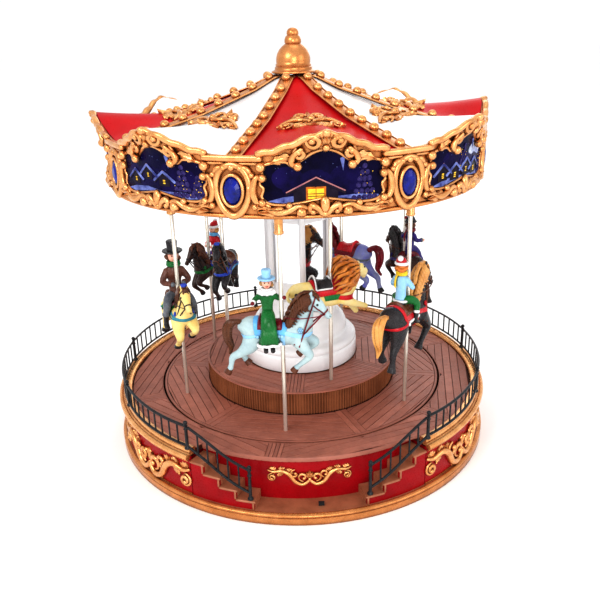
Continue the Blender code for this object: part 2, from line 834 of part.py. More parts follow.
HORSE_BODY = (
    (-28.0, 0.0, 3.5, 3.2, 4.0),
    (-23.5, 0.0, 2.6, 6.2, 7.6),
    (-16.0, 0.0, 1.2, 6.6, 8.2),
    (-5.0, 0.0, -0.5, 6.3, 8.0),
    (6.0, 0.0, -0.6, 6.1, 8.2),
    (13.0, 0.0, 3.5, 5.0, 7.8),
    (15.5, 0.0, 12.0, 3.8, 6.0),
    (18.0, 0.0, 21.0, 2.8, 4.4),
    (22.5, 0.0, 22.5, 2.7, 4.2),
    (27.5, 0.0, 16.8, 2.0, 2.9),
    (31.5, 0.0, 12.2, 1.6, 2.0),
)
HORSE_LIMBS = (
    ((10.0, -3.6, -4.0, 2.8, 3.2), (19.0, -4.3, -14.0, 1.9, 2.1), (8.5, -4.2, -26.0, 1.6, 1.9)),
    ((10.0, 3.6, -4.0, 2.8, 3.2), (21.5, 4.3, -8.8, 1.9, 2.1), (11.0, 4.2, -18.0, 1.6, 1.9)),
    ((-17.0, -3.4, -3.0, 3.2, 4.0), (-27.0, -4.2, -14.0, 2.0, 2.4), (-34.0, -4.2, -18.5, 1.7, 2.0),
     (-38.0, -4.2, -30.0, 1.6, 1.9)),
    ((-17.0, 3.4, -3.0, 3.2, 4.0), (-23.0, 4.2, -14.0, 2.0, 2.4), (-28.5, 4.2, -18.5, 1.7, 2.0),
     (-24.8, 4.2, -26.8, 1.6, 1.9)),
    ((-26.0, 0.0, 5.0, 1.8, 2.0), (-34.0, 0.0, 4.0, 2.2, 2.8), (-37.5, 0.0, -6.0, 2.2, 2.8),
     (-36.5, 0.0, -16.0, 1.0, 1.2)),
)
LION_BODY = (
    (-31.0, 0.0, 4.2, 3.0, 4.2),
    (-27.0, 0.0, 4.0, 5.8, 6.8),
    (-18.0, 0.0, 1.4, 6.2, 9.0),
    (-4.0, 0.0, -1.0, 6.1, 9.0),
    (6.0, 0.0, 1.0, 7.0, 10.4),
    (13.0, 0.0, 8.0, 8.6, 12.6),
    (19.0, 0.0, 13.0, 7.4, 10.2),
    (24.0, 0.0, 13.4, 4.4, 5.6),
    (28.5, 0.0, 11.0, 2.6, 3.2),
)
LION_LIMBS = (
    ((8.0, -3.8, -5.0, 3.2, 3.8), (16.0, -4.6, -9.5, 2.4, 2.8), (26.5, -4.8, -13.4, 2.2, 2.0)),
    ((8.0, 3.8, -5.0, 3.2, 3.8), (17.0, 4.6, -12.0, 2.4, 2.8), (23.5, 4.8, -20.5, 2.2, 2.2)),
    ((-19.0, -3.6, -3.0, 3.4, 4.2), (-25.0, -4.4, -11.0, 2.6, 3.2), (-30.5, -4.7, -17.0, 2.0, 2.2),
     (-29.5, -4.8, -24.5, 2.2, 2.0)),
    ((-19.0, 3.6, -3.0, 3.4, 4.2), (-21.5, 4.4, -11.0, 2.6, 3.2), (-25.0, 4.7, -17.0, 2.0, 2.2),
     (-22.0, 4.8, -25.0, 2.2, 2.0)),
    ((-29.0, 0.0, 6.0, 1.4, 1.6), (-34.0, -2.0, 4.0, 1.2, 1.4), (-33.5, -6.5, 0.5, 1.4, 1.6),
     (-28.5, -8.2, 3.4, 1.8, 2.2)),
)


def scaled(stations, size):
    return [tuple(value * size for value in station) for station in stations]


def animal(name, body, limbs, size, colour, radius, azimuth, height):
    pieces = [tube("trunk", scaled(body, size), sides=8)]
    for limb in limbs:
        pieces.append(tube("limb", scaled(limb, size), sides=4))
    made = fuse(name, pieces, colour)
    combine(made, [cylinder("bore", POLE_R + 0.4, -60.0, 60.0)], "DIFFERENCE")
    place(paint(made, colour), radius, azimuth, height)


TRUNK = (
    (-0.08, 3.4, 3.2),
    (0.10, 3.7, 3.5),
    (0.36, 4.4, 3.2),
    (0.45, 2.4, 2.2),
    (0.50, 1.7, 1.7),
    (0.58, 3.0, 3.1),
    (0.74, 3.0, 3.1),
)
HATS = {
    "tall": ((0.76, 4.2, 4.2), (0.80, 4.2, 4.2), (0.81, 2.6, 2.6), (1.00, 2.9, 2.9)),
    "round": ((0.80, 3.3, 3.3), (0.90, 2.4, 2.4), (1.00, 1.2, 1.2)),
}


def rider(name, size, back_z, seat_z, top_z, hat, aside, colour, azimuth):
    """A seated figure, trimmed to clear its mount and its pole; heights are above the mount's axis."""
    tall = top_z - seat_z
    seat_x = -9.5 * size
    trunk = []
    for share, wide, deep in TRUNK + HATS[hat]:
        trunk.append((seat_x, 0.0, seat_z + share * tall, wide, deep))
    pieces = [tube("trunk", trunk, sides=7)]
    for side in (-1.0, 1.0):
        arm = (
            (seat_x, side * 3.4, seat_z + 0.37 * tall, 1.5, 1.5),
            (seat_x + 2.6, side * 5.6, seat_z + 0.22 * tall, 1.4, 1.4),
            (seat_x + 7.2, side * 3.6, seat_z + 0.22 * tall, 1.1, 1.1),
        )
        pieces.append(tube("arm", arm, sides=5))
        leg_y = -1.0 if aside else side
        knee_x = seat_x + (side * 2.4 + 1.0 if aside else 8.0)
        leg = (
            (seat_x, leg_y * 2.0, seat_z + 1.6, 2.4, 2.6),
            (knee_x, leg_y * 7.8, seat_z - 1.0, 2.2, 2.4),
            (knee_x - 1.5, leg_y * 8.8, seat_z - 15.0, 1.7, 1.9),
        )
        pieces.append(tube("leg", leg, sides=5))
    made = fuse(name, pieces, colour)
    grown = [tube("mount_room", scaled(HORSE_BODY[:6], size), sides=8, grow=0.4)]
    grown.append(cylinder("pole_room", POLE_R + 0.4, -60.0, 90.0))
    combine(made, grown, "DIFFERENCE")
    place(paint(made, colour), OUTER_R, azimuth, back_z)


# name suffix, azimuth index, height of the body axis, size, coat, seat, hat top, hat, side-saddle, clothes
OUTER_MOUNTS = (
    (1, 119.5, 1.00, "horse_pale_blue", 128.5, 164.0, "tall", True, "dress_green"),
    (2, 115.0, 1.12, "horse_black", 127.0, 163.0, "round", False, "jumper_blue"),
    (3, 122.5, 0.90, "horse_dark", 131.0, 164.3, "round", True, "dress_navy"),
    (4, 116.0, 0.90, "horse_grey", 124.5, 158.0, "round", False, "coat_tan"),
    (5, 114.5, 0.87, "horse_brown", 122.5, 156.2, "round", False, "coat_red"),
    (6, 112.0, 0.92, "horse_yellow", 121.0, 166.0, "tall", False, "coat_brown"),
)


def build_poles():
    outer, inner = pole_places()
    for ring, places in (("outer", outer), ("inner", inner)):
        for number, (radius, azimuth) in enumerate(places, 1):
            x, y, foot = polar(radius, azimuth, POLE_FOOT)
            pole = cylinder("%s_pole_%d" % (ring, number), POLE_R, foot, POLE_TOP, (x, y), colour="champagne_metal")
            set_origin(pole, x, y, foot)


def build_figures():
    for number, axis_z, size, coat, seat, top, hat, aside, clothes in OUTER_MOUNTS:
        azimuth = OUTER_AZ[number - 1]
        animal("outer_horse_%d" % number, HORSE_BODY, HORSE_LIMBS, size, coat, OUTER_R, azimuth, axis_z)
        rider("rider_%d" % number, size, axis_z, seat - axis_z, top - axis_z, hat, aside, clothes, azimuth)
    animal("lion", LION_BODY, LION_LIMBS, 1.0, "lion_yellow", INNER_R, INNER_AZ[0], 131.5)
    animal("inner_horse_2", HORSE_BODY, HORSE_LIMBS, 1.0, "horse_violet", INNER_R, INNER_AZ[1], 128.5)
    animal("inner_horse_3", HORSE_BODY, HORSE_LIMBS, 0.87, "horse_black", INNER_R, INNER_AZ[2], 130.0)


def main():
    for thing in list(bpy.data.objects):
        bpy.data.objects.remove(thing)
    build_plinth()
    build_bottom()
    build_wall()
    build_stairs()
    build_wall_scroll()
    build_rim()
    build_deck()
    build_fence()
    build_switch()
    build_movement()
    build_turntable()
    build_column()
    build_ceiling()
    build_roof()
    build_cornice()
    build_finial()
    build_poles()
    build_figures()


main()
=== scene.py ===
"""Looks of the carousel music box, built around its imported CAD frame.

Shapes are worked out in millimetres in the row frame (+Z up, front at -Y) and written in metres.
Azimuth 0 faces the front and grows towards +X, which is the way the carousel turns.
"""
import json
import math
import random

import bmesh
import bpy
from mathutils import Matrix, Vector, noise
from mathutils.geometry import tessellate_polygon
from mathutils.bvhtree import BVHTree

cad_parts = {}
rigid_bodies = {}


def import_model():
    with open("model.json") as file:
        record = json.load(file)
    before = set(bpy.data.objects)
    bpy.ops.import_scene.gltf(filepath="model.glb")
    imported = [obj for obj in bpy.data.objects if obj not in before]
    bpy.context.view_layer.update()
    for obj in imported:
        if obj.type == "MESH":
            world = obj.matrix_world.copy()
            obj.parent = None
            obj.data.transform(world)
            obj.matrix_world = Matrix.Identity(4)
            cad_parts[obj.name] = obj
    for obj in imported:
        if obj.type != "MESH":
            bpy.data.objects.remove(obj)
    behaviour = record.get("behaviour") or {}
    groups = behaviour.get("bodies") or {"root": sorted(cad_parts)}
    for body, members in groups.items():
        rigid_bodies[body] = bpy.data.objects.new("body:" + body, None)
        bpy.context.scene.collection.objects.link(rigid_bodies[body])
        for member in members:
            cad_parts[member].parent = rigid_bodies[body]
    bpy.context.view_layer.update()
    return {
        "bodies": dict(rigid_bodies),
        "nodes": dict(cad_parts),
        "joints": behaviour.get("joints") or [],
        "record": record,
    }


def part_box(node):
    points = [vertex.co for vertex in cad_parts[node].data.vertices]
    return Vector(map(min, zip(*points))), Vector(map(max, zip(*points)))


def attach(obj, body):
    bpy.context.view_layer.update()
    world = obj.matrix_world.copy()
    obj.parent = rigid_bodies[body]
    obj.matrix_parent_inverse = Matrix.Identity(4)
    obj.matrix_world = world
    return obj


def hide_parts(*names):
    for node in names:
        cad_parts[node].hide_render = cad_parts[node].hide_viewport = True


MM = 0.001
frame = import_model()
DICE = random.Random(7)


# ---------------------------------------------------------------- sizes taken from the frame

def low(node):
    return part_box(node)[0] / MM


def high(node):
    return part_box(node)[1] / MM


STAGE_AZ = 1.8
STAGE_HALF = 33.8
PLINTH_R = high("plinth_ring").x
PLINTH_TOP = high("plinth_ring").z
WALL_R = high("drum_wall").x
WALL_TOP = high("drum_wall").z
RECESS_R = 132.0
RIM_FOOT = low("rim_moulding").z
RIM_TOP = high("rim_moulding").z
DECK_TOP = high("fixed_deck").z
DECK_IN = 115.0
DECK_OUT = high("fixed_deck").y
LIP_R = 133.5
TURN_R = high("turntable").x
STEP_R = high("raised_platform").x
STEP_TOP = high("raised_platform").z
FENCE_R = 145.0
FENCE_HALF = 34.8
FENCE_SPANS = 9
CORNICE_FOOT = low("cornice").z
CREST_TOP = high("cornice").z
CORNICE_R = 136.8
CORNICE_TOP = 243.0
CREST_FOOT = 243.6
CREST_PEAK = 256.5
CREST_LEAN = 143.5
SECTORS = 8
PITCH = 360.0 / SECTORS
ROOF_EYE_R = 12.0
ROOF_EDGE_R = 131.4
RIB_END_R = 133.0
CREST_AZ = 6.8
CEILING_Z = high("canopy_ceiling").z - 2.5
COLUMN_AZ = 7.0
FINIAL_TOP = high("finial").z
OUTER_R = 98.5
OUTER_AZ = (-7.0, 53.0, 113.0, 173.0, -127.0, -67.0)
INNER_R = 61.0
INNER_AZ = (22.0, 142.0, -98.0)
POLE_R = 1.5
POLE_HOLE_R = 1.9
COLUMN_POST_FOOT = 112.0
CEILING_R = 132.4
CEILING_T = 2.4
SHAFT_HOLE_R = 4.5
RINGS_ROUND = 144


def polar(radius, azimuth, height):
    angle = math.radians(azimuth)
    return Vector((radius * math.sin(angle), -radius * math.cos(angle), height))


# ---------------------------------------------------------------- materials

def new_material(name):
    made = bpy.data.materials.new(name)
    made.use_nodes = True
    tree = made.node_tree
    return made, tree, tree.nodes["Principled BSDF"]


def noise_node(tree, scale, detail=3.0, rough=0.55, stretch=None):
    """Fractal noise in the piece's own coordinates, stretched when asked."""
    place = tree.nodes.new("ShaderNodeTexCoord")
    texture = tree.nodes.new("ShaderNodeTexNoise")
    texture.inputs["Scale"].default_value = scale
    texture.inputs["Detail"].default_value = detail
    texture.inputs["Roughness"].default_value = rough
    if stretch:
        mapping = tree.nodes.new("ShaderNodeMapping")
        mapping.inputs["Scale"].default_value = stretch
        tree.links.new(place.outputs["Object"], mapping.inputs["Vector"])
        tree.links.new(mapping.outputs["Vector"], texture.inputs["Vector"])
    else:
        tree.links.new(place.outputs["Object"], texture.inputs["Vector"])
    return texture.outputs["Fac"]


def blend_colours(tree, factor, one, two):
    """Mix of two colours or colour sockets."""
    mix = tree.nodes.new("ShaderNodeMix")
    mix.data_type = "RGBA"
    tree.links.new(factor, mix.inputs[0])
    for value, socket in ((one, mix.inputs[6]), (two, mix.inputs[7])):
        if isinstance(value, tuple):
            socket.default_value = (*value, 1.0)
        else:
            tree.links.new(value, socket)
    return mix.outputs[2]


def span(tree, value, from_low, from_high, to_low, to_high):
    node = tree.nodes.new("ShaderNodeMapRange")
    tree.links.new(value, node.inputs["Value"])
    for name, number in (("From Min", from_low), ("From Max", from_high), ("To Min", to_low),
                         ("To Max", to_high)):
        node.inputs[name].default_value = number
    return node.outputs["Result"]


def bump(tree, shader, height, strength, distance):
    node = tree.nodes.new("ShaderNodeBump")
    node.inputs["Strength"].default_value = strength
    node.inputs["Distance"].default_value = distance
    tree.links.new(height, node.inputs["Height"])
    tree.links.new(node.outputs["Normal"], shader.inputs["Normal"])


def paint(name, light, dark, rough=0.3, metal=0.0, coat=0.0, scale=160.0, grain=900.0, relief=0.12,
          painted_shade=None, painted_shade_reach=1.6, stretch=None, sheen=0.12):
    """Brushed paint: two tones, uneven gloss, fine grain and an optional painted shade that darkens the
    colour in the hollows.
    """
    made, tree, shader = new_material(name)
    tone = span(tree, noise_node(tree, scale, 4.0, 0.6, stretch), 0.35, 0.65, 0.0, 1.0)
    colour = blend_colours(tree, tone, light, dark)
    if painted_shade:
        # painted shade: ambient occlusion mixes the colour towards the painted shade colour in hollows and
        # creases
        occlusion = tree.nodes.new("ShaderNodeAmbientOcclusion")
        occlusion.samples = 4
        occlusion.inputs["Distance"].default_value = painted_shade_reach * MM
        painted_shade_amount = span(tree, occlusion.outputs["AO"], 0.35, 0.9, 1.0, 0.0)
        colour = blend_colours(tree, painted_shade_amount, colour, painted_shade)
    tree.links.new(colour, shader.inputs["Base Color"])
    fine = noise_node(tree, grain, 2.0, 0.5, stretch)
    tree.links.new(span(tree, fine, 0.3, 0.7, rough * 0.75, rough * 1.3), shader.inputs["Roughness"])
    shader.inputs["Metallic"].default_value = metal
    shader.inputs["Specular IOR Level"].default_value = 0.5 if metal else sheen
    shader.inputs["Coat Weight"].default_value = coat
    shader.inputs["Coat Roughness"].default_value = 0.12
    bump(tree, shader, fine, relief, 0.0002)
    return made


def wood(name, light, dark, line):
    """Moulded planks: tone by plank, long fine grain lines, satin finish."""
    made, tree, shader = new_material(name)
    island = tree.nodes.new("ShaderNodeNewGeometry")
    base = blend_colours(tree, island.outputs["Random Per Island"], light, dark)
    soft = span(tree, noise_node(tree, 90.0, 4.0, 0.65), 0.4, 0.7, 0.0, 0.55)
    base = blend_colours(tree, soft, base, line)
    tree.links.new(base, shader.inputs["Base Color"])
    fine = noise_node(tree, 700.0, 3.0, 0.6)
    tree.links.new(span(tree, fine, 0.3, 0.7, 0.36, 0.58), shader.inputs["Roughness"])
    bump(tree, shader, fine, 0.25, 0.0002)
    return made


# The last colour of antique_gold is painted shade, laid into its hollows.
GOLD = paint("antique_gold", (0.72, 0.325, 0.120), (0.54, 0.220, 0.070), rough=0.3, metal=0.85, coat=0.05,
             scale=90.0, painted_shade=(0.24, 0.075, 0.018), painted_shade_reach=2.6)
# A lighter copy of the antique gold for the raised ornament, beads and rim: painted highlight; its last
# colour is painted shade in the hollows.
GOLD_PAINTED_HIGHLIGHT = paint("gold_painted_highlight", (0.85, 0.46, 0.20), (0.66, 0.31, 0.110), rough=0.25, metal=0.85, coat=0.05,
                   scale=110.0, painted_shade=(0.26, 0.085, 0.020), painted_shade_reach=2.0)
RED = paint("stage_red", (0.34, 0.002, 0.007), (0.24, 0.001, 0.004), rough=0.3, coat=0.04, scale=40.0,
            relief=0.06)
ROOF_RED = paint("roof_red", (0.54, 0.003, 0.007), (0.44, 0.002, 0.005), rough=0.34, coat=0.02, scale=30.0,
                 relief=0.05)
WHITE = paint("gloss_white", (0.86, 0.85, 0.86), (0.80, 0.79, 0.80), rough=0.24, coat=0.4, scale=40.0,
              relief=0.05)
# The last colour of ribbed_brown is painted shade, laid into the hollows between the ribs.
RIBBED = paint("ribbed_brown", (0.29, 0.105, 0.046), (0.20, 0.066, 0.027), rough=0.4, scale=60.0,
               painted_shade=(0.08, 0.026, 0.014), painted_shade_reach=1.2)
STEP_PAINT = paint("stair_bronze", (0.42, 0.165, 0.085), (0.31, 0.115, 0.056), rough=0.42, metal=0.2,
                   scale=90.0)
BLACK = paint("fence_black", (0.012, 0.012, 0.014), (0.03, 0.03, 0.032), rough=0.32, scale=300.0, coat=0.2)
PLANK = wood("deck_planks", (0.42, 0.150, 0.100), (0.31, 0.105, 0.068), (0.21, 0.066, 0.042))
GROOVE = paint("deck_groove", (0.07, 0.020, 0.013), (0.045, 0.013, 0.009), rough=0.6)
CHROME = paint("pole_metal", (0.80, 0.75, 0.68), (0.72, 0.66, 0.57), rough=0.2, metal=0.65, scale=20.0,
               relief=0.0)
STEEL = paint("brushed_steel", (0.60, 0.60, 0.62), (0.50, 0.50, 0.52), rough=0.3, metal=1.0,
              stretch=(1, 1, 12))
MIRROR = paint("mirror_film", (0.90, 0.91, 0.93), (0.86, 0.87, 0.90), rough=0.04, metal=1.0, scale=30.0,
               relief=0.01)
PLASTIC = paint("black_plastic", (0.025, 0.025, 0.027), (0.018, 0.018, 0.02), rough=0.5, relief=0.3)
NYLON = paint("natural_nylon", (0.74, 0.72, 0.66), (0.66, 0.64, 0.58), rough=0.45)
BOARD = paint("circuit_green", (0.02, 0.22, 0.09), (0.015, 0.15, 0.06), rough=0.35, scale=500.0)
NIGHT = paint("night_sky", (0.006, 0.004, 0.040), (0.002, 0.001, 0.008), rough=0.3, sheen=0.05, scale=35.0,
              relief=0.02)
GLOW = paint("picture_glow", (0.011, 0.006, 0.072), (0.003, 0.002, 0.020), rough=0.3, sheen=0.05,
             scale=70.0,
             relief=0.02)
SNOW = paint("picture_snow", (0.22, 0.27, 0.60), (0.03, 0.035, 0.16), rough=0.3, sheen=0.05, scale=120.0,
             relief=0.02)
PICTURE_DARK = paint("picture_dark", (0.012, 0.008, 0.016), (0.02, 0.014, 0.03), rough=0.3, sheen=0.05,
                     relief=0.02)
ROOF_LINE = paint("picture_roof_line", (0.52, 0.24, 0.20), (0.30, 0.12, 0.16), rough=0.3, sheen=0.05,
                  relief=0.02)
PINE = paint("picture_pine", (0.060, 0.045, 0.17), (0.020, 0.014, 0.075), rough=0.3, sheen=0.05,
             scale=500.0)
CLOUD = paint("picture_cloud", (0.62, 0.66, 0.74), (0.16, 0.20, 0.46), rough=0.3, sheen=0.05, scale=90.0,
              relief=0.02)
AMBER = paint("picture_amber", (0.55, 0.17, 0.02), (0.32, 0.08, 0.01), rough=0.3, scale=300.0, relief=0.02)
LAMP = paint("picture_lamplight", (0.95, 0.68, 0.06), (0.80, 0.42, 0.03), rough=0.3, scale=400.0,
             relief=0.02)


def jewel_material():
    made, tree, shader = new_material("blue_stone")
    facet = tree.nodes.new("ShaderNodeNewGeometry")
    shade = blend_colours(tree, span(tree, noise_node(tree, 180.0), 0.35, 0.65, 0.0, 1.0),
                          (0.001, 0.004, 0.10), (0.003, 0.012, 0.26))
    tree.links.new(shade, shader.inputs["Base Color"])
    tree.links.new(span(tree, facet.outputs["Random Per Island"], 0.0, 1.0, 0.05, 0.12),
                   shader.inputs["Roughness"])
    shader.inputs["Specular IOR Level"].default_value = 0.3
    shader.inputs["Coat Weight"].default_value = 0.1
    shader.inputs["Coat Roughness"].default_value = 0.03
    return made


JEWEL = jewel_material()


# ---------------------------------------------------------------- mesh making

class Shape:
    """Gathers closed surfaces in mm; put() turns them into one piece of the scene."""

    def __init__(self):
        self.points = []
        self.faces = []

    def add(self, points, faces):
        first = len(self.points)
        self.points.extend(Vector(p) for p in points)
        self.faces.extend(tuple(first + i for i in face) for face in faces)

    def tube(self, path, radii, sides=10, flat=1.0, up=None):
        """A round or flattened bar along a path with rounded ends; flat scales its second half width."""
        path = [Vector(p) for p in path]
        if not isinstance(radii, (list, tuple)):
            radii = [radii] * len(path)
        start = path[0] + (path[0] - path[1]).normalized() * radii[0] * 0.5
        end = path[-1] + (path[-1] - path[-2]).normalized() * radii[-1] * 0.5
        path = [start] + path + [end]
        radii = [radii[0] * 0.45] + list(radii) + [radii[-1] * 0.45]
        side = None
        points = []
        for i, place in enumerate(path):
            along = (path[min(i + 1, len(path) - 1)] - path[max(i - 1, 0)]).normalized()
            if up is not None:
                side = along.cross(Vector(up))
            elif side is None:
                side = along.orthogonal()
            side = side - along * side.dot(along)
            if side.length < 1e-6:
                side = along.orthogonal()
            side.normalize()
            other = along.cross(side)
            for k in range(sides):
                angle = 2.0 * math.pi * k / sides
                points.append(place + side * math.cos(angle) * radii[i]
                              + other * math.sin(angle) * radii[i] * flat)
        faces = []
        for i in range(len(path) - 1):
            for k in range(sides):
                a = i * sides + k
                b = i * sides + (k + 1) % sides
                faces.append((a, b, b + sides, a + sides))
        faces.append(tuple(range(sides - 1, -1, -1)))
        faces.append(tuple(range((len(path) - 1) * sides, len(path) * sides)))
        self.add(points, faces)

    def ball(self, centre, radius, scale=(1.0, 1.0, 1.0), rings=7, sides=12, turn=None):
        centre = Vector(centre)
        points = [Vector((0, 0, -1))]
        for i in range(1, rings):
            polar_angle = math.pi * i / rings
            for k in range(sides):
                angle = 2.0 * math.pi * k / sides
                points.append(Vector((math.sin(polar_angle) * math.cos(angle),
                                      math.sin(polar_angle) * math.sin(angle), -math.cos(polar_angle))))
        points.append(Vector((0, 0, 1)))
        faces = []
        for k in range(sides):
            after = (k + 1) % sides
            faces.append((0, 1 + after, 1 + k))
            top = 1 + (rings - 2) * sides
            faces.append((top + k, top + after, len(points) - 1))
            for i in range(rings - 2):
                a = 1 + i * sides
                faces.append((a + k, a + after, a + sides + after, a + sides + k))
        placed = []
        for p in points:
            p = Vector((p.x * scale[0], p.y * scale[1], p.z * scale[2])) * radius
            if turn is not None:
                p = turn @ p
            placed.append(p + centre)
        self.add(placed, faces)

    def turned(self, outline, sides=72, start=0.0, sweep=360.0, at=(0.0, 0.0)):
        """A closed (radius, height) outline turned about an upright axis."""
        whole = sweep >= 360.0
        count = sides if whole else sides + 1
        size = len(outline)
        points = []
        for step in range(count):
            for radius, height in outline:
                points.append(polar(radius, start + sweep * step / sides,
                                    height) + Vector((at[0], at[1], 0)))
        faces = []
        for step in range(sides):
            a = step * size
            b = ((step + 1) % count) * size
            for i in range(size):
                j = (i + 1) % size
                faces.append((a + i, b + i, b + j, a + j))
        if not whole:
            faces.append(tuple(range(size)))
            faces.append(tuple(range((count - 1) * size, count * size)))
        self.add(points, faces)

    def slab(self, outline, foot, top, edge=0.2):
        """A flat board with a small bevel round its upper edge."""
        size = len(outline)
        inner = inset(outline, edge)
        points = [Vector((x, y, foot)) for x, y in outline]
        points += [Vector((x, y, top - edge)) for x, y in outline]
        points += [Vector((x, y, top)) for x, y in inner]
        faces = [tuple(range(size - 1, -1, -1)), tuple(range(2 * size, 3 * size))]
        for i in range(size):
            j = (i + 1) % size
            faces.append((i, j, size + j, size + i))
            faces.append((size + i, size + j, 2 * size + j, 2 * size + i))
        self.add(points, faces)

    def grid(self, columns, rows, front, back, wrap=False):
        """A closed sheet between two surfaces given as functions of (column, row)."""
        count = columns if wrap else columns + 1
        points = []
        for face in (front, back):
            for i in range(count):
                for k in range(rows + 1):
                    points.append(Vector(face(i, k)))
        half = count * (rows + 1)
        faces = []
        for i in range(columns):
            a = i * (rows + 1)
            b = ((i + 1) % count) * (rows + 1)
            for k in range(rows):
                faces.append((a + k, b + k, b + k + 1, a + k + 1))
                faces.append((half + a + k + 1, half + b + k + 1, half + b + k, half + a + k))
            faces.append((a, half + a, half + b, b))
            faces.append((a + rows, b + rows, half + b + rows, half + a + rows))
        if not wrap:
            for a in (0, columns * (rows + 1)):
                for k in range(rows):
                    faces.append((a + k, a + k + 1, half + a + k + 1, half + a + k))
        self.add(points, faces)

    def put(self, name, material, body, stands_for=(), warp=None, smooth=True, slot=None, keep=False):
        """The gathered shape as an object that rides on a body."""
        mesh = bpy.data.meshes.new(name)
        shell = bmesh.new()
        placed = [warp(p) if warp else p for p in self.points]
        corners = [shell.verts.new(Vector(p) * MM) for p in placed]
        for face in self.faces:
            unique = list(dict.fromkeys(face))
            if len(unique) > 2:
                try:
                    shell.faces.new([corners[i] for i in unique])
                except ValueError:
                    pass
        bmesh.ops.remove_doubles(shell, verts=shell.verts, dist=1e-7)
        bmesh.ops.recalc_face_normals(shell, faces=shell.faces)
        shell.to_mesh(mesh)
        shell.free()
        return finish_piece(name, mesh, material, body, stands_for, smooth, keep)


def finish_piece(name, mesh, material, body, stands_for=(), smooth=True, keep=False):
    thing = bpy.data.objects.new(name, mesh)
    bpy.context.scene.collection.objects.link(thing)
    mesh.materials.clear()
    mesh.materials.append(material)
    for face in mesh.polygons:
        face.use_smooth = smooth
    if smooth and not keep:
        mesh.set_sharp_from_angle(angle=math.radians(50))
    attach(thing, body)
    if stands_for:
        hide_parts(*stands_for)
    return thing


def inset(outline, distance):
    """The outline moved inwards by a distance, corner by corner."""
    size = len(outline)
    area = sum(outline[i][0] * outline[(i + 1) % size][1] - outline[(i + 1) % size][0] * outline[i][1]
               for i in range(size))
    turn = 1.0 if area > 0 else -1.0
    moved = []
    for i in range(size):
        before = Vector(outline[i - 1])
        here = Vector(outline[i])
        after = Vector(outline[(i + 1) % size])
        one = (here - before)
        two = (after - here)
        if one.length < 1e-6 or two.length < 1e-6:
            moved.append(tuple(here))
            continue
        one.normalize()
        two.normalize()
        normal = Vector((-one.y - two.y, one.x + two.x)) * turn
        if normal.length > 1e-6:
            normal.normalize()
        moved.append(tuple(here + normal * distance))
    return moved


def smooth_path(points, steps=6, closed=False):
    """Catmull-Rom curve through points of any size."""
    points = [Vector(p) for p in points]
    count = len(points)
    result = []
    last = count if closed else count - 1
    for i in range(last):
        if closed:
            a, b, c, d = (points[(i + k) % count] for k in (-1, 0, 1, 2))
        else:
            a, b, c, d = (points[min(max(i + k, 0), count - 1)] for k in (-1, 0, 1, 2))
        for step in range(steps):
            t = step / steps
            result.append(0.5 * ((2 * b) + (c - a) * t + (2 * a - 5 * b + 4 * c - d) * t * t
                                 + (3 * b - a - 3 * c + d) * t * t * t))
    if not closed:
        result.append(points[-1])
    return result


def taper(count, start, middle, end):
    """Radii that swell from start to middle and shrink to end."""
    values = []
    for i in range(count):
        t = i / (count - 1)
        early = start + (middle - start) * t * 2
        late = middle + (end - middle) * (t - 0.5) * 2
        values.append(early if t < 0.5 else late)
    return values


# ---------------------------------------------------------------- ornament in a flat (u, v, w) frame

def curl(shape, centre, radius, start, turns, thick, lift=0.0, bead=1.15):
    """A C-scroll: a spiral bar that ends in a bead. Angles in degrees; turns may be negative."""
    path = []
    steps = int(abs(turns) * 20) + 4
    for i in range(steps + 1):
        t = i / steps
        angle = math.radians(start + 360.0 * turns * t)
        r = radius * (1.0 - 0.72 * t ** 0.8)
        path.append((centre[0] + r * math.cos(angle), centre[1] + r * math.sin(angle),
                     lift + 0.5 * thick * t))
    shape.tube(path, taper(len(path), thick * 0.55, thick, thick * 0.75), sides=8)
    end = path[-1]
    shape.ball((end[0], end[1], end[2] + 0.1 * thick), thick * bead, rings=6, sides=10)


def leaf(shape, base, angle, length, width, rise, lobes=4, bend=0.0, base_lift=0.0):
    """An acanthus leaf: lobed outline, raised midrib and hollowed veins, curling up at its tip."""
    along_steps = 16
    across = 6
    heading = math.radians(angle)

    def point(top):
        def at(i, k):
            t = i / along_steps
            s = (k / across) * 2.0 - 1.0
            swell = math.sin(math.pi * min(1.0, 0.08 + 0.92 * t)) ** 0.6
            lobe = 1.0 + 0.22 * math.sin(2.0 * math.pi * lobes * t)
            half = 0.5 * width * swell * lobe
            turn = heading + math.radians(bend) * t
            u = base[0] + length * t * math.cos(heading + math.radians(bend) * t * 0.5)
            v = base[1] + length * t * math.sin(heading + math.radians(bend) * t * 0.5)
            u -= math.sin(turn) * half * s
            v += math.cos(turn) * half * s
            ridge = (1.0 - abs(s) ** 1.4) + 0.18 * math.cos(3.0 * math.pi * s)
            w = base_lift + rise * (0.35 + 0.65 * t * t) * max(0.0, ridge) if top else base_lift - 0.25
            return (u, v, w if top else base_lift - 0.3)
        return at

    shape.grid(along_steps, across, point(True), point(False))


def disc_scroll(shape, centre, radius, start, direction, thick):
    """A closed spiral disc, as at the ends of the applied scrolls."""
    curl(shape, centre, radius, start, 1.5 * direction, thick, lift=0.4)
    shape.ball((centre[0], centre[1], 0.0), radius * 0.8, scale=(1, 1, 0.25), rings=6, sides=14)


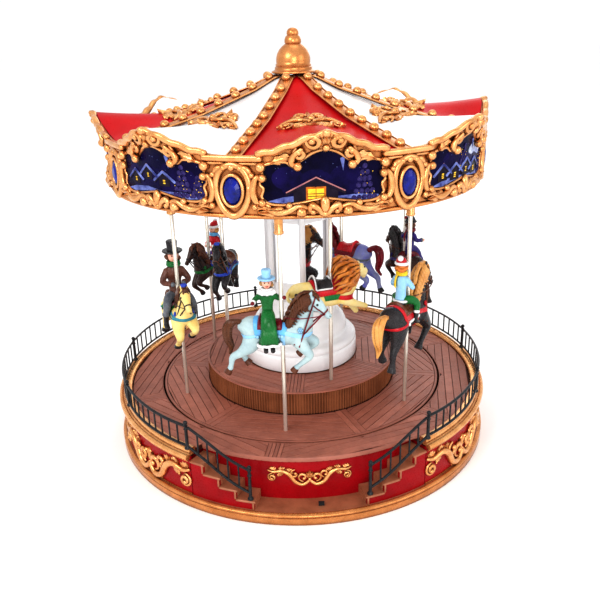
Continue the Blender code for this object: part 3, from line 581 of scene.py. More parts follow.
def applied_scroll(shape, half, tall):
    """A mirrored rococo scroll about u = 0."""
    bold = tall / 13.0
    for side in (-1.0, 1.0):
        arm = smooth_path([(0, -0.25 * tall, 0.7), (side * 0.14 * half, -0.5 * tall, 0.9),
                           (side * 0.32 * half, -0.36 * tall, 1.0), (side * 0.46 * half, 0.10 * tall, 1.0),
                           (side * 0.62 * half, 0.30 * tall, 1.0), (side * 0.82 * half, 0.22 * tall, 0.9),
                           (side * 0.95 * half, 0.30 * tall, 0.6)], 6)
        shape.tube(arm, taper(len(arm), 1.2 * bold, 1.7 * bold, 0.6 * bold), sides=8)
        flip = 0.0 if side > 0 else 180.0
        curl(shape, (side * 0.15 * half, -0.05 * tall), 0.30 * tall, -90.0, 0.9 * side, 1.1 * bold, 0.6)
        curl(shape, (side * 0.34 * half, 0.12 * tall), 0.26 * tall, -90.0 + flip, -0.9 * side, 1.0 * bold,
             0.6)
        disc_scroll(shape, (side * 0.86 * half, -0.14 * tall), 0.24 * tall, 90.0, -side, 0.9 * bold)
        leaf(shape, (side * 0.40 * half, 0.05 * tall), 90.0 - side * 35.0, 0.50 * tall, 0.38 * tall, 1.5)
        leaf(shape, (side * 0.55 * half, 0.24 * tall), 90.0 - side * 60.0, 0.44 * tall, 0.34 * tall, 1.5)
        leaf(shape, (side * 0.60 * half, 0.20 * tall), -90.0 + side * 55.0, 0.40 * tall, 0.30 * tall, 1.4)
        leaf(shape, (side * 0.22 * half, -0.40 * tall), -90.0 + side * 60.0, 0.26 * tall, 0.22 * tall, 1.2)
        leaf(shape, (side * 0.74 * half, 0.22 * tall), 30.0 if side > 0 else 150.0, 0.48 * tall,
             0.28 * tall, 1.3)
    for turn in (-48, -24, 0, 24, 48):
        leaf(shape, (0, -0.18 * tall), 90.0 + turn, 0.52 * tall - abs(turn) * 0.04, 0.20 * tall, 1.7,
             lobes=2)
    shape.ball((0, -0.20 * tall, 0.8), 1.3, rings=6, sides=10)


def on_cylinder(radius, azimuth, height):
    """Maps (u right, v up, w out) to a wall of this radius."""
    def at(p):
        return polar(radius + p.z, azimuth + math.degrees(p.x / radius), height + p.y)
    return at


# ---------------------------------------------------------------- stage

def build_plinth():
    bead = []
    for i in range(7):
        angle = math.radians(90.0 - 30.0 * i)
        bead.append((PLINTH_R - 1.2 + 1.2 * math.cos(angle), 7.0 + 1.2 * math.sin(angle)))
    shape = Shape()
    outline = [(146.0, 0.0), (PLINTH_R - 0.7, 0.0), (PLINTH_R - 0.2, 0.6),
               (PLINTH_R - 0.4, 5.2)] + bead[::-1]
    outline += [(PLINTH_R - 1.6, PLINTH_TOP), (147.9, PLINTH_TOP), (147.9, 6.1), (146.0, 6.1)]
    shape.turned(outline, sides=180)
    shape.put("plinth_band", GOLD, "base", ["plinth_ring"])
    shelf = Shape()
    shelf.turned([(129.0, 6.1), (147.7, 6.1), (147.7, PLINTH_TOP), (129.0, PLINTH_TOP)], sides=180)
    shelf.put("landing_floor", STEP_PAINT, "base", slot="stair_bronze")


def wall_loop(radius_shift=0.0):
    """Stage wall in plan as (radius, azimuth) stations: round the back, then along the recess."""
    stations = []
    for step in range(147):
        stations.append((WALL_R + radius_shift, STAGE_HALF + (360.0 - 2.0 * STAGE_HALF) * step / 146))
    for step in range(35):
        stations.append((RECESS_R + radius_shift, 360.0 - STAGE_HALF + 2.0 * STAGE_HALF * step / 34))
    return stations


def build_wall():
    outer = wall_loop()
    inner = wall_loop(-2.2)
    heights = (PLINTH_TOP, WALL_TOP)
    shape = Shape()
    shape.grid(len(outer), 1, lambda i, k: polar(outer[i][0], outer[i][1] + STAGE_AZ, heights[k]),
               lambda i, k: polar(inner[i][0], inner[i][1] + STAGE_AZ, heights[k]), wrap=True)
    # red cheeks under the treads, flush with the wall
    for side in (-1.0, 1.0):
        for near, far, top in STEPS:
            shape.grid(4, 1, lambda i, k: polar(WALL_R - 0.1,
                                                STAGE_AZ + side * (near + (far - near) * i / 4),
                                                (PLINTH_TOP, top - 1.5)[k]),
                       lambda i, k: polar(WALL_R - 2.0, STAGE_AZ + side * (near + (far - near) * i / 4),
                                          (PLINTH_TOP, top - 1.5)[k]))
    shape.put("stage_wall", RED, "base", ["drum_wall"])
    band = Shape()
    for foot, top in ((PLINTH_TOP, PLINTH_TOP + 1.3), (WALL_TOP - 1.0, WALL_TOP + 0.5)):
        band.turned([(WALL_R - 0.5, foot), (WALL_R + 0.5, foot), (WALL_R + 0.5, top), (WALL_R - 0.5, top)],
                    sides=146, start=STAGE_AZ + STAGE_HALF, sweep=360.0 - 2.0 * STAGE_HALF)
    band.put("wall_bands", GOLD, "base")


STEPS = ((15.1, 20.0, 15.3), (20.0, 24.7, 22.4), (24.7, 29.5, 29.5), (29.5, 33.6, 36.6))


def build_stairs(name, side):
    """Four treads and risers, with a rounded edge that steps along the red cheek."""
    shape = Shape()
    edge = Shape()
    foot = PLINTH_TOP
    for near, far, top in STEPS:
        azimuths = [STAGE_AZ + side * (near - 0.25 + (far - near + 0.25) * i / 6) for i in range(7)]
        for low_z, high_z, reach in ((top - 1.8, top, 0.25), (PLINTH_TOP, top - 1.8, -2.2)):
            levels = (low_z, high_z)
            shape.grid(6, 1, lambda i, k: polar(WALL_R + reach, azimuths[i], levels[k]),
                       lambda i, k: polar(RECESS_R + 0.2, azimuths[i], levels[k]))
        riser = polar(WALL_R + 0.15, STAGE_AZ + side * (near + 0.25), foot)
        edge.tube([riser, polar(WALL_R + 0.15, STAGE_AZ + side * (near + 0.25), top - 0.8)], 0.75, sides=6)
        run = [polar(WALL_R + 0.15, azimuth, top - 0.9) for azimuth in azimuths]
        edge.tube(run, 0.75, sides=6)
        foot = top
    shape.put(name + "_treads", STEP_PAINT, "base", [name], smooth=False)
    edge.put(name + "_edge", STEP_PAINT, "base", slot="stair_bronze")


def build_rim():
    arc = []
    for i in range(9):
        angle = math.radians(-70.0 + 20.0 * i)
        arc.append((147.9 + 2.1 * math.cos(angle), 39.2 + 2.1 * math.sin(angle)))
    outline = [(139.6, 39.0), (147.5, 39.0), (147.5, RIM_FOOT), (148.2, RIM_FOOT)] + arc
    outline += [(147.6, 41.0), (146.9, 40.6), (145.9, 41.2), (145.6, 43.6), (145.0, RIM_TOP),
                (140.4, RIM_TOP),
                (139.6, RIM_TOP - 0.7)]
    shape = Shape()
    half = STAGE_HALF + 0.2
    shape.turned(outline, sides=146, start=STAGE_AZ + half, sweep=360.0 - 2.0 * half)
    shape.put("rim_moulding_detail", GOLD_PAINTED_HIGHLIGHT, "base", ["rim_moulding"])


def allowed(x, y, r_in, r_out, front_r=None):
    radius = math.hypot(x, y)
    limit = r_out
    if front_r is not None:
        azimuth = math.degrees(math.atan2(x, -y))
        if abs(azimuth - STAGE_AZ) < STAGE_HALF + 0.3:
            limit = front_r
    return r_in <= radius <= limit


def build_planks(name, r_in, r_out, top, first_board, board_width, plank_width, body, front_r=None,
                 splits=4,
                 stands_for=()):
    """Six fans of straight planks between radial boards."""
    shape = Shape()
    gap = 0.22
    for sector in range(6):
        middle = first_board + 30.0 + 60.0 * sector
        angle = math.radians(middle)
        out = Vector((math.sin(angle), -math.cos(angle)))
        along = Vector((math.cos(angle), math.sin(angle)))
        near = r_in * math.cos(math.radians(30.0))
        count = int((r_out - near) / plank_width) + 1

        def reach(d, sign):
            """Allowed run of t on one side at distance d, as (low, high) or None."""
            lowest = None
            highest = None
            t = 0.0
            while t < r_out:
                wall = d * math.tan(math.radians(30.0)) - board_width / (2.0 * math.cos(math.radians(30.0)))
                if t > wall:
                    break
                place = out * d + along * t * sign
                if allowed(place.x, place.y, r_in, r_out, front_r):
                    if lowest is None:
                        lowest = t
                    highest = t
                t += 0.25
            return None if lowest is None or highest - lowest < 1.0 else (lowest, highest)

        for number in range(count):
            start = near + number * plank_width + gap
            rows = [start + (plank_width - 2 * gap) * k / 4 for k in range(5)]
            sides = {}
            for sign in (-1.0, 1.0):
                sides[sign] = [(d, reach(d, sign)) for d in rows]
                sides[sign] = [(d, run) for d, run in sides[sign] if run]
            joined = (all(len(s) == 5 for s in sides.values())
                      and all(run[0] == 0.0 for s in sides.values() for d, run in s))
            outlines = []
            if joined:
                outline = [(d, run[1]) for d, run in sides[1.0]] + [(d, -run[1]) for d,
                        run in reversed(sides[-1.0])]
                outlines.append(outline)
            else:
                for sign, runs in sides.items():
                    if len(runs) > 1:
                        outlines.append([(d, sign * run[1]) for d, run in runs]
                                        + [(d, sign * run[0]) for d, run in reversed(runs)])
            for outline in outlines:
                corners = []
                for d, t in outline:
                    place = out * d + along * t
                    corners.append((place.x, place.y))
                shape.slab(corners, top - 0.7, top + 0.02 * DICE.random(), 0.16)
        # radial boards split lengthwise into strips
        angle = math.radians(first_board + 60.0 * sector)
        out = Vector((math.sin(angle), -math.cos(angle)))
        along = Vector((math.cos(angle), math.sin(angle)))
        strip = board_width / splits
        limit = r_out
        board_az = (first_board + 60.0 * sector + 180.0) % 360.0 - 180.0
        if front_r is not None and abs(board_az - STAGE_AZ) < STAGE_HALF:
            limit = front_r
        for number in range(splits):
            t0 = -board_width / 2.0 + number * strip + 0.16
            t1 = t0 + strip - 0.32
            corners = []
            for t, radius in ((t0, r_in), (t1, r_in), (t1, limit), (0.5 * (t0 + t1), limit), (t0, limit)):
                place = out * math.sqrt(radius * radius - t * t) + along * t
                corners.append((place.x, place.y))
            shape.slab(corners, top - 0.7, top, 0.12)
    shape.put(name, PLANK, body, stands_for, smooth=False, slot="deck_wood")


def build_decks():
    groove = Shape()
    edge = [(DECK_OUT, STAGE_HALF + (360.0 - 2.0 * STAGE_HALF) * i / 120) for i in range(121)]
    edge += [(LIP_R, 360.0 - STAGE_HALF + 2.0 * STAGE_HALF * i / 34) for i in range(35)]
    heights = (DECK_TOP - 3.0, DECK_TOP - 0.5)
    groove.grid(len(edge), 1, lambda i, k: polar(edge[i][0], edge[i][1] + STAGE_AZ, heights[k]),
                lambda i, k: polar(DECK_IN, edge[i][1] + STAGE_AZ, heights[k]), wrap=True)
    groove.put("deck_base", GROOVE, "base", ["fixed_deck"], slot="deck_wood")
    build_planks("deck_planks", DECK_IN + 0.9, DECK_OUT - 0.2, DECK_TOP, -9.0, 11.0, 6.2, "base",
                 LIP_R - 0.9, 4)
    trim = Shape()
    trim.turned([(DECK_IN, DECK_TOP - 1.5), (DECK_IN + 0.8, DECK_TOP - 1.5), (DECK_IN + 0.8, DECK_TOP),
                 (DECK_IN + 0.2, DECK_TOP + 0.1), (DECK_IN, DECK_TOP - 0.2)], sides=180)
    lip = [(LIP_R - 0.8, DECK_TOP - 3.0), (LIP_R, DECK_TOP - 3.0), (LIP_R + 0.1, DECK_TOP - 0.6),
           (LIP_R - 0.3, DECK_TOP + 0.1), (LIP_R - 0.8, DECK_TOP)]
    trim.turned(lip, sides=40, start=STAGE_AZ - STAGE_HALF + 0.3, sweep=2.0 * STAGE_HALF - 0.6)
    trim.put("deck_trim", PLANK, "base", slot="deck_wood")
    disc = Shape()
    disc.turned([(4.0, DECK_TOP - 3.0), (TURN_R, DECK_TOP - 3.0), (TURN_R, DECK_TOP - 0.7),
                 (4.0, DECK_TOP - 0.7)],
                sides=180)
    disc.put("turntable_base", GROOVE, "carousel", ["turntable"], slot="deck_wood")
    build_planks("turntable_planks", STEP_R + 0.2, TURN_R - 2.2, DECK_TOP, 22.0, 9.0, 6.0, "carousel",
                 None, 2)
    build_planks("platform_planks", 46.6, STEP_R - 2.0, STEP_TOP, -4.0, 13.0, 5.4, "carousel", None, 5)
    ring = Shape()
    ring.turned([(TURN_R - 1.8, DECK_TOP - 1.2), (TURN_R, DECK_TOP - 1.2), (TURN_R, DECK_TOP - 0.2),
                 (TURN_R - 0.4, DECK_TOP + 0.1), (TURN_R - 1.5, DECK_TOP + 0.1),
                 (TURN_R - 1.8, DECK_TOP - 0.1)],
                sides=180)
    ring.turned([(STEP_R - 1.7, STEP_TOP - 0.8), (STEP_R, STEP_TOP - 0.8), (STEP_R, STEP_TOP - 0.3),
                 (STEP_R - 0.5, STEP_TOP + 0.1), (STEP_R - 1.3, STEP_TOP + 0.1),
                 (STEP_R - 1.7, STEP_TOP - 0.1)],
                sides=180)
    ring.put("turntable_rings", PLANK, "carousel", slot="deck_wood")
    build_platform_side()


def build_platform_side():
    """The raised platform's side: fine upright ribs of uneven width, and its floor."""
    ribs = 230
    columns = ribs * 4
    depths = [0.15 + 0.5 * DICE.random() for i in range(ribs)]
    foot = DECK_TOP + 0.3

    def face(i, k):
        rib = (i // 4) % ribs
        radius = STEP_R - 0.9 + (depths[rib] if i % 4 in (1, 2) else -0.35)
        height = (foot, STEP_TOP - 0.9)[k]
        return polar(radius, 360.0 * i / columns, height)

    shape = Shape()
    shape.grid(columns, 1, face, lambda i, k: polar(STEP_R - 3.0, 360.0 * i / columns,
                                                    (foot, STEP_TOP - 0.9)[k]),
               wrap=True)
    shape.turned([(4.0, STEP_TOP - 3.0), (STEP_R - 2.9, STEP_TOP - 3.0), (STEP_R - 1.0, STEP_TOP - 0.7),
                  (4.0, STEP_TOP - 0.7)], sides=120)
    shape.put("platform_side", RIBBED, "carousel", ["raised_platform"])


def fence_post(shape, azimuth, foot, top):
    x, y = polar(FENCE_R, azimuth, 0.0).xy
    tall = top - foot
    outline = [(0.0, foot), (2.0, foot), (2.0, foot + 1.0), (1.3, foot + 1.7), (1.15, foot + 2.6),
               (1.15, foot + tall * 0.68), (1.7, foot + tall * 0.71), (1.15, foot + tall * 0.74),
               (1.05, top - 4.0), (1.6, top - 3.7), (0.8, top - 3.3)]
    for i in range(7):
        angle = math.radians(-60.0 + 25.0 * i)
        outline.append((1.55 * math.cos(angle), top - 1.55 + 1.55 * math.sin(angle)))
    outline.append((0.0, top))
    shape.turned(outline, sides=14, at=(x, y))


def build_fence():
    bars = 9
    span_deg = (360.0 - 2.0 * FENCE_HALF) / FENCE_SPANS
    shape = Shape()
    low_z = 46.6
    high_z = 62.0
    for height, radius in ((low_z, 0.95), (high_z, 1.0)):
        steps = 120
        path = [polar(FENCE_R, STAGE_AZ + FENCE_HALF + (360.0 - 2.0 * FENCE_HALF) * i / steps, height)
                for i in range(steps + 1)]
        shape.tube(path, radius, sides=8, flat=0.8)
    for item in range(FENCE_SPANS + 1):
        azimuth = STAGE_AZ + FENCE_HALF + span_deg * item
        fence_post(shape, azimuth, RIM_TOP - 0.2, high("fence").z - 0.1)
        if item < FENCE_SPANS:
            for bar in range(1, bars + 1):
                at = azimuth + span_deg * bar / (bars + 1)
                shape.tube([polar(FENCE_R, at, low_z), polar(FENCE_R, at, high_z)], 0.62, sides=8)
    shape.put("fence_ironwork", BLACK, "base", ["fence"])
    for name, side in (("stair_rail_right", 1.0), ("stair_rail_left", -1.0)):
        shape = Shape()
        low_az = 16.2
        fence_post(shape, STAGE_AZ + side * low_az, STEPS[0][2], 42.0)
        rails = []
        for near_z, far_z in ((20.4, 45.6), (38.4, 61.4)):
            path = []
            for i in range(25):
                t = i / 24
                ease = t + 0.10 * math.sin(2.0 * math.pi * t) * (-1.0)
                path.append(polar(FENCE_R, STAGE_AZ + side * (low_az + (FENCE_HALF - 0.7 - low_az) * t),
                                  near_z + (far_z - near_z) * (0.35 * ease + 0.65 * t)))
            rails.append(path)
            shape.tube(path, 0.95, sides=8, flat=0.8)
        for bar in range(1, 6):
            i = bar * 4
            shape.tube([rails[0][i], rails[1][i]], 0.62, sides=8)
        curl_at = rails[1][0]
        shape.ball(curl_at, 1.5, rings=6, sides=10)
        shape.put(name + "_ironwork", BLACK, "base", [name])


def build_stage_scrolls():
    shape = Shape()
    applied_scroll(shape, 30.0, 13.0)
    shape.put("recess_scroll", GOLD_PAINTED_HIGHLIGHT, "base", ["wall_scroll"],
              warp=on_cylinder(RECESS_R + 0.2, STAGE_AZ, 27.6), slot="antique_gold")
    for number, azimuth in enumerate((51.0, 101.0, 149.0, 211.0, 259.0, 309.0)):
        shape = Shape()
        applied_scroll(shape, 46.0, 22.0)
        shape.put("wall_scroll_%d" % (number + 1), GOLD_PAINTED_HIGHLIGHT, "base",
                  warp=on_cylinder(WALL_R + 0.1, STAGE_AZ + azimuth, 22.6), slot="antique_gold")


# ---------------------------------------------------------------- column, ceiling, canopy

def build_column():
    foot = STEP_TOP + 0.2
    outline = [(8.0, foot), (45.6, foot), (46.2, foot + 0.6), (46.2, 71.6), (45.9, 72.4), (45.0, 73.2)]
    for i in range(6):
        angle = math.radians(-20.0 + 22.0 * i)
        outline.append((41.5 + 4.4 * math.cos(angle), 75.6 + 4.4 * math.sin(angle) * 0.8))
    outline += [(39.0, 79.6), (37.9, 80.6), (37.6, 81.8), (38.0, 84.5), (37.6, 88.0), (36.0, 91.5),
                (33.2, 94.8),
                (31.6, 96.6), (30.4, 97.2), (30.0, 98.0), (30.2, 100.0), (29.6, 103.5), (28.2, 106.0),
                (27.6, 107.5),
                (27.6, COLUMN_POST_FOOT), (8.0, COLUMN_POST_FOOT)]
    shape = Shape()
    shape.turned(outline, sides=120)
    shape.put("column_foot", WHITE, "carousel", ["column_base"])
    frame_shape = Shape()
    top = CEILING_Z - 0.3
    corner_r = 26.2
    corners = [polar(corner_r, COLUMN_AZ + 60.0 * i, 0.0) for i in range(6)]
    for i, corner in enumerate(corners):
        rod = Vector((corner.x, corner.y, COLUMN_POST_FOOT))
        frame_shape.tube([rod, rod + Vector((0, 0, top - COLUMN_POST_FOOT))], 2.4, sides=16)
        for low_z, high_z, radius in ((112.2, 125.0, 25.4), (173.5, 178.0, 25.4)):
            one = polar(radius, COLUMN_AZ + 60.0 * i, 0.0)
            two = polar(radius, COLUMN_AZ + 60.0 * (i + 1), 0.0)
            deep = (one + two).normalized() * 2.2
            outline = [(one.x, one.y), (two.x, two.y), (two.x - deep.x, two.y - deep.y),
                       (one.x - deep.x, one.y - deep.y)]
            frame_shape.slab(outline, low_z, high_z, 0.4)
    frame_shape.turned([(20.0, top - 2.5), (29.0, top - 2.5), (29.6, top - 1.0), (28.6, top), (20.0, top)],
                       sides=60)
    frame_shape.put("column_posts", WHITE, "carousel", ["column_frame"])
    glass = Shape()
    flat_r = 23.6
    for i in range(6):
        one = polar(flat_r, COLUMN_AZ + 60.0 * i + 1.5, 0.0)
        two = polar(flat_r, COLUMN_AZ + 60.0 * (i + 1) - 1.5, 0.0)
        deep = (one + two).normalized() * 0.9
        glass.slab([(one.x, one.y), (two.x, two.y), (two.x - deep.x, two.y - deep.y),
                    (one.x - deep.x, one.y - deep.y)],
                   113.0, top - 0.5, 0.2)
    glass.put("mirror_panels", MIRROR, "carousel", ["mirror_sleeve"], smooth=False)


def pierced_disc(shape, radius, holes, low_z, high_z):
    """A flat disc with round holes, each hole given as (x, y, radius)."""
    turns = [2 * math.pi * i / RINGS_ROUND for i in range(RINGS_ROUND)]
    loops = [[(radius * math.cos(angle), radius * math.sin(angle)) for angle in turns]]
    for x, y, hole in holes:
        turns = [-2.0 * math.pi * i / 24 for i in range(24)]
        loops.append([(x + hole * math.cos(angle), y + hole * math.sin(angle)) for angle in turns])
    flat = [point for loop in loops for point in loop]
    size = len(flat)
    triangles = tessellate_polygon([[Vector((x, y, 0.0)) for x, y in loop] for loop in loops])
    points = [(x, y, low_z) for x, y in flat] + [(x, y, high_z) for x, y in flat]
    faces = [tuple(size + i for i in triangle) for triangle in triangles]
    faces += [tuple(reversed(triangle)) for triangle in triangles]
    first = 0
    for loop in loops:
        count = len(loop)
        for i in range(count):
            a = first + i
            b = first + (i + 1) % count
            faces.append((a, b, size + b, size + a))
        first += count
    shape.add(points, faces)


def build_ceiling():
    shape = Shape()
    places = [(OUTER_R, az) for az in OUTER_AZ] + [(INNER_R, az) for az in INNER_AZ]
    holes = [(0.0, 0.0, SHAFT_HOLE_R)]
    for radius, azimuth in places:
        x, y = polar(radius, azimuth, 0.0).xy
        holes.append((x, y, POLE_HOLE_R))
    pierced_disc(shape, CEILING_R, holes, CEILING_Z, CEILING_Z + CEILING_T)
    for ring in (78.0, 124.0):
        shape.turned([(ring - 1.0, CEILING_Z - 0.9), (ring + 1.0, CEILING_Z - 0.9),
                      (ring + 2.0, CEILING_Z + 0.2),
                      (ring - 2.0, CEILING_Z + 0.2)], sides=RINGS_ROUND)
    shape.put("ceiling_disc", WHITE, "carousel", ["canopy_ceiling"], smooth=False, slot="gloss_white")
    sleeves = Shape()
    foot = low("canopy_ceiling").z
    for radius, azimuth in places:
        x, y = polar(radius, azimuth, 0.0).xy
        outline = [(1.85, foot), (3.0, foot), (3.3, foot + 0.5), (3.3, foot + 1.4), (2.9, foot + 2.0),
                   (2.9, CEILING_Z - 3.0), (3.5, CEILING_Z - 2.2), (3.5, CEILING_Z - 0.1),
                   (1.85, CEILING_Z - 0.1)]
        sleeves.turned(outline, sides=24, at=(x, y))
    sleeves.put("pole_sleeves", GOLD_PAINTED_HIGHLIGHT, "carousel", slot="antique_gold")


CREST_SHAPE = ((0.0, 1.0), (3.4, 0.86), (6.7, 0.60), (10.0, 0.36), (13.4, 0.17), (17.0, 0.06), (22.5, 0.0))


def crest_share(offset):
    """Rise of the crest, 1 at its peak, by angle from its middle."""
    offset = abs(offset)
    for one, two in zip(CREST_SHAPE, CREST_SHAPE[1:]):
        if offset <= two[0]:
            return one[1] + (two[1] - one[1]) * (offset - one[0]) / (two[0] - one[0])
    return 0.0


def sector_offset(azimuth):
    """Angle from the middle of the nearest crest, -22.5 to 22.5."""
    return (azimuth - CREST_AZ + PITCH / 2.0) % PITCH - PITCH / 2.0


def cornice_top(azimuth):
    share = crest_share(sector_offset(azimuth))
    return CREST_FOOT + (CREST_PEAK - CREST_FOOT) * share


def cornice_radius(azimuth, height):
    """Radius of the cornice's outer face."""
    share = crest_share(sector_offset(azimuth))
    if height <= CORNICE_TOP:
        t = max(0.0, (height - CORNICE_FOOT) / (CORNICE_TOP - CORNICE_FOOT))
        return CORNICE_R - 1.6 + t * t * (3.0 * share - 0.4)
    t = (height - CORNICE_TOP) / max(0.1, CREST_TOP - CORNICE_TOP)
    return CORNICE_R - 2.0 + 3.0 * share + t * (CREST_LEAN - CORNICE_R)


def on_cornice(azimuth):
    """Maps (u right, v above the foot, w out) to the cornice about a crest or corner azimuth."""
    def at(p):
        az = azimuth + math.degrees(p.x / CORNICE_R)
        height = CORNICE_FOOT + p.y
        return polar(cornice_radius(az, height) + p.z, az, height)
    return at


ROOF_LINE_POINTS = ((ROOF_EYE_R, 280.0), (19.0, 278.0), (34.0, 271.0), (75.0, 257.2), (ROOF_EDGE_R, 243.7))


def roof_height(radius):
    points = ROOF_LINE_POINTS
    for one, two in zip(points, points[1:]):
        if radius <= two[0]:
            t = (radius - one[0]) / (two[0] - one[0])
            return one[1] + (two[1] - one[1]) * t
    return points[-1][1]


def roof_skin(azimuth, share):
    """Point of the roof at a share of the way from the eye to the edge, sagging like cloth between ribs."""
    rise = crest_share(sector_offset(azimuth))
    flat = ROOF_EYE_R + (ROOF_EDGE_R - ROOF_EYE_R) * share
    late = max(0.0, (share - 0.45) / 0.55)
    radius = flat + 10.6 * rise * late
    sag = 1.2 * (1.0 - rise) * math.sin(math.pi * share)
    height = roof_height(flat) - 1.6 + 16.0 * rise * late ** 1.5 - sag
    return polar(radius, azimuth, height)


def build_roof():
    for parity, name, material, slot in ((0, "roof_red_panels", ROOF_RED, "gloss_red"),
                                         (1, "roof_white_panels", WHITE, "gloss_white")):
        shape = Shape()
        for sector in range(SECTORS):
            if sector % 2 != parity:
                continue
            middle = CREST_AZ + PITCH * sector

            def skin(drop):
                def at(i, k):
                    azimuth = middle - PITCH / 2.0 + PITCH * i / 24
                    return roof_skin(azimuth, k / 20) - Vector((0, 0, drop))
                return at

            shape.grid(24, 20, skin(0.0), skin(2.2))
        shape.put(name, material, "carousel", ["roof_shell"] if parity == 0 else (), slot=slot)


def on_roof(azimuth, radius):
    """Maps (u right, v down the slope, w out of the roof) to the roof about a point."""
    def at(p):
        share = (radius + p.y * 0.94 - ROOF_EYE_R) / (ROOF_EDGE_R - ROOF_EYE_R)
        az = azimuth + math.degrees(p.x / radius)
        place = roof_skin(az, max(0.0, min(1.0, share)))
        return place + Vector((0, 0, 1.0)) * p.z + polar(1, az, 0) * p.z * 0.3
    return at


def build_ribs():
    band = Shape()
    beads = Shape()
    for sector in range(SECTORS):
        azimuth = CREST_AZ + PITCH / 2.0 + PITCH * sector
        side = polar(1.0, azimuth + 90.0, 0.0)
        path = []
        for i in range(25):
            radius = 14.0 + (RIB_END_R - 14.0) * i / 24
            path.append(polar(radius, azimuth, roof_height(min(radius, ROOF_EDGE_R)) - 0.9))
        band.tube(path, 4.6, sides=12, flat=0.24, up=(0, 0, 1))
        for sign in (-1.0, 1.0):
            beads.tube([p + side * 4.4 * sign + Vector((0, 0, 0.5)) for p in path], 0.6, sides=8)
        for bead in range(RIB_BEADS):
            radius = 20.0 + RIB_PITCH * bead
            place = polar(radius, azimuth, roof_height(min(radius, ROOF_EDGE_R)) + 1.0)
            beads.ball(place, 3.2, scale=(1, 1, 0.95), rings=10, sides=16)
    band.put("roof_rib_bands", GOLD, "carousel", ["roof_ribs"])
    beads.put("roof_rib_beads", GOLD_PAINTED_HIGHLIGHT, "carousel", slot="antique_gold")


def build_roof_scrolls():
    for sector in range(SECTORS):
        shape = Shape()
        for side in (-1.0, 1.0):
            curl(shape, (side * 6.5, -7.0), 5.2, 200.0 if side > 0 else -20.0, 0.9 * side, 1.5, 1.2)
            stem = smooth_path([(side * 1.0, 5.0, 1.0), (side * 8.0, 1.5, 1.8), (side * 15.0, 4.0, 1.8),
                                (side * 19.5, 9.0, 1.2)], 6)
            shape.tube(stem, taper(len(stem), 1.3, 2.0, 0.8), sides=8)
            curl(shape, (side * 14.0, 8.0), 4.4, 90.0, 0.9 * side, 1.3, 1.0)
            leaf(shape, (side * 2.0, 2.0), -90.0 + side * 38.0, 13.0, 6.4, 2.6, bend=side * 30.0)
            leaf(shape, (side * 5.0, 4.0), 90.0 - side * 80.0, 15.0, 6.0, 2.6, bend=side * 25.0)
            leaf(shape, (side * 3.0, 6.0), 90.0 - side * 45.0, 11.0, 6.0, 2.4)
        leaf(shape, (0, 0.0), -90.0, 15.0, 6.4, 2.8)
        leaf(shape, (0, 3.0), 90.0, 12.0, 7.0, 2.8)
        shape.ball((0, 2.0, 1.8), 2.6, rings=8, sides=12)
        azimuth = CREST_AZ + PITCH * sector
        shape.put("roof_scroll_%d" % (sector + 1), GOLD_PAINTED_HIGHLIGHT, "carousel", warp=on_roof(azimuth, 80.0),
                  slot="antique_gold")


RIB_BEADS = 9
RIB_PITCH = 13.4
WINDOW_HALF = ((0, 12.0), (7, 11.0), (15, 9.6), (24, 8.6), (32, 9.4), (36.5, 13.0), (35.4, 18.0),
               (37.5, 21.0),
               (36.0, 26.0), (35.4, 31.0), (29.0, 33.0), (22.0, 33.4), (18.0, 31.0), (13.0, 34.6),
               (6.0, 39.0),
               (0, 40.4))


def window_outline():
    right = [(u, v, 0.0) for u, v in WINDOW_HALF]
    left = [(-u, v, 0.0) for u, v in reversed(WINDOW_HALF[1:-1])]
    return smooth_path(right + left, 5, closed=True)


def build_cornice():
    steps = 360
    rows = 12
    shape = Shape()

    def face(inset_by):
        def at(i, k):
            azimuth = 360.0 * i / steps
            height = CORNICE_FOOT + 0.2 + (cornice_top(azimuth) - CORNICE_FOOT - 0.2) * k / rows
            return polar(cornice_radius(azimuth, height) - inset_by, azimuth, height)
        return at

    shape.grid(steps, rows, face(0.0), face(1.6), wrap=True)
    # plain band along the foot
    path = [polar(CORNICE_R - 1.2, 360.0 * i / 180, CORNICE_FOOT + 1.5) for i in range(181)]
    shape.tube(path, 1.4, sides=8)
    shape.put("cornice_shell", GOLD, "carousel", ["cornice"])
    for sector in range(SECTORS):
        azimuth = CREST_AZ + PITCH * sector
        build_panel(sector, on_cornice(azimuth))
        build_corner(sector, on_cornice(azimuth + PITCH / 2.0))


def c_scroll(shape, points, thick, ball, lift=1.0):
    """A C-shaped bar with a ball at either end."""
    path = smooth_path([(u, v, lift + 0.4 * thick) for u, v in points], 6)
    count = len(path)
    radii = [thick * (0.6 + 0.55 * math.sin(math.pi * i / (count - 1))) for i in range(count)]
    shape.tube(path, radii, sides=8)
    for end in (points[0], points[-1]):
        shape.ball((end[0], end[1], lift + 0.8), ball, rings=8, sides=12)


def volute(shape, centre, radius, start, hand, thick, lift=1.0):
    """A tight spiral with a raised eye."""
    curl(shape, centre, radius, start, 1.05 * hand, thick, lift)
    shape.ball((centre[0], centre[1], lift * 0.4), radius * 0.8, scale=(1, 1, 0.3), rings=6, sides=14)


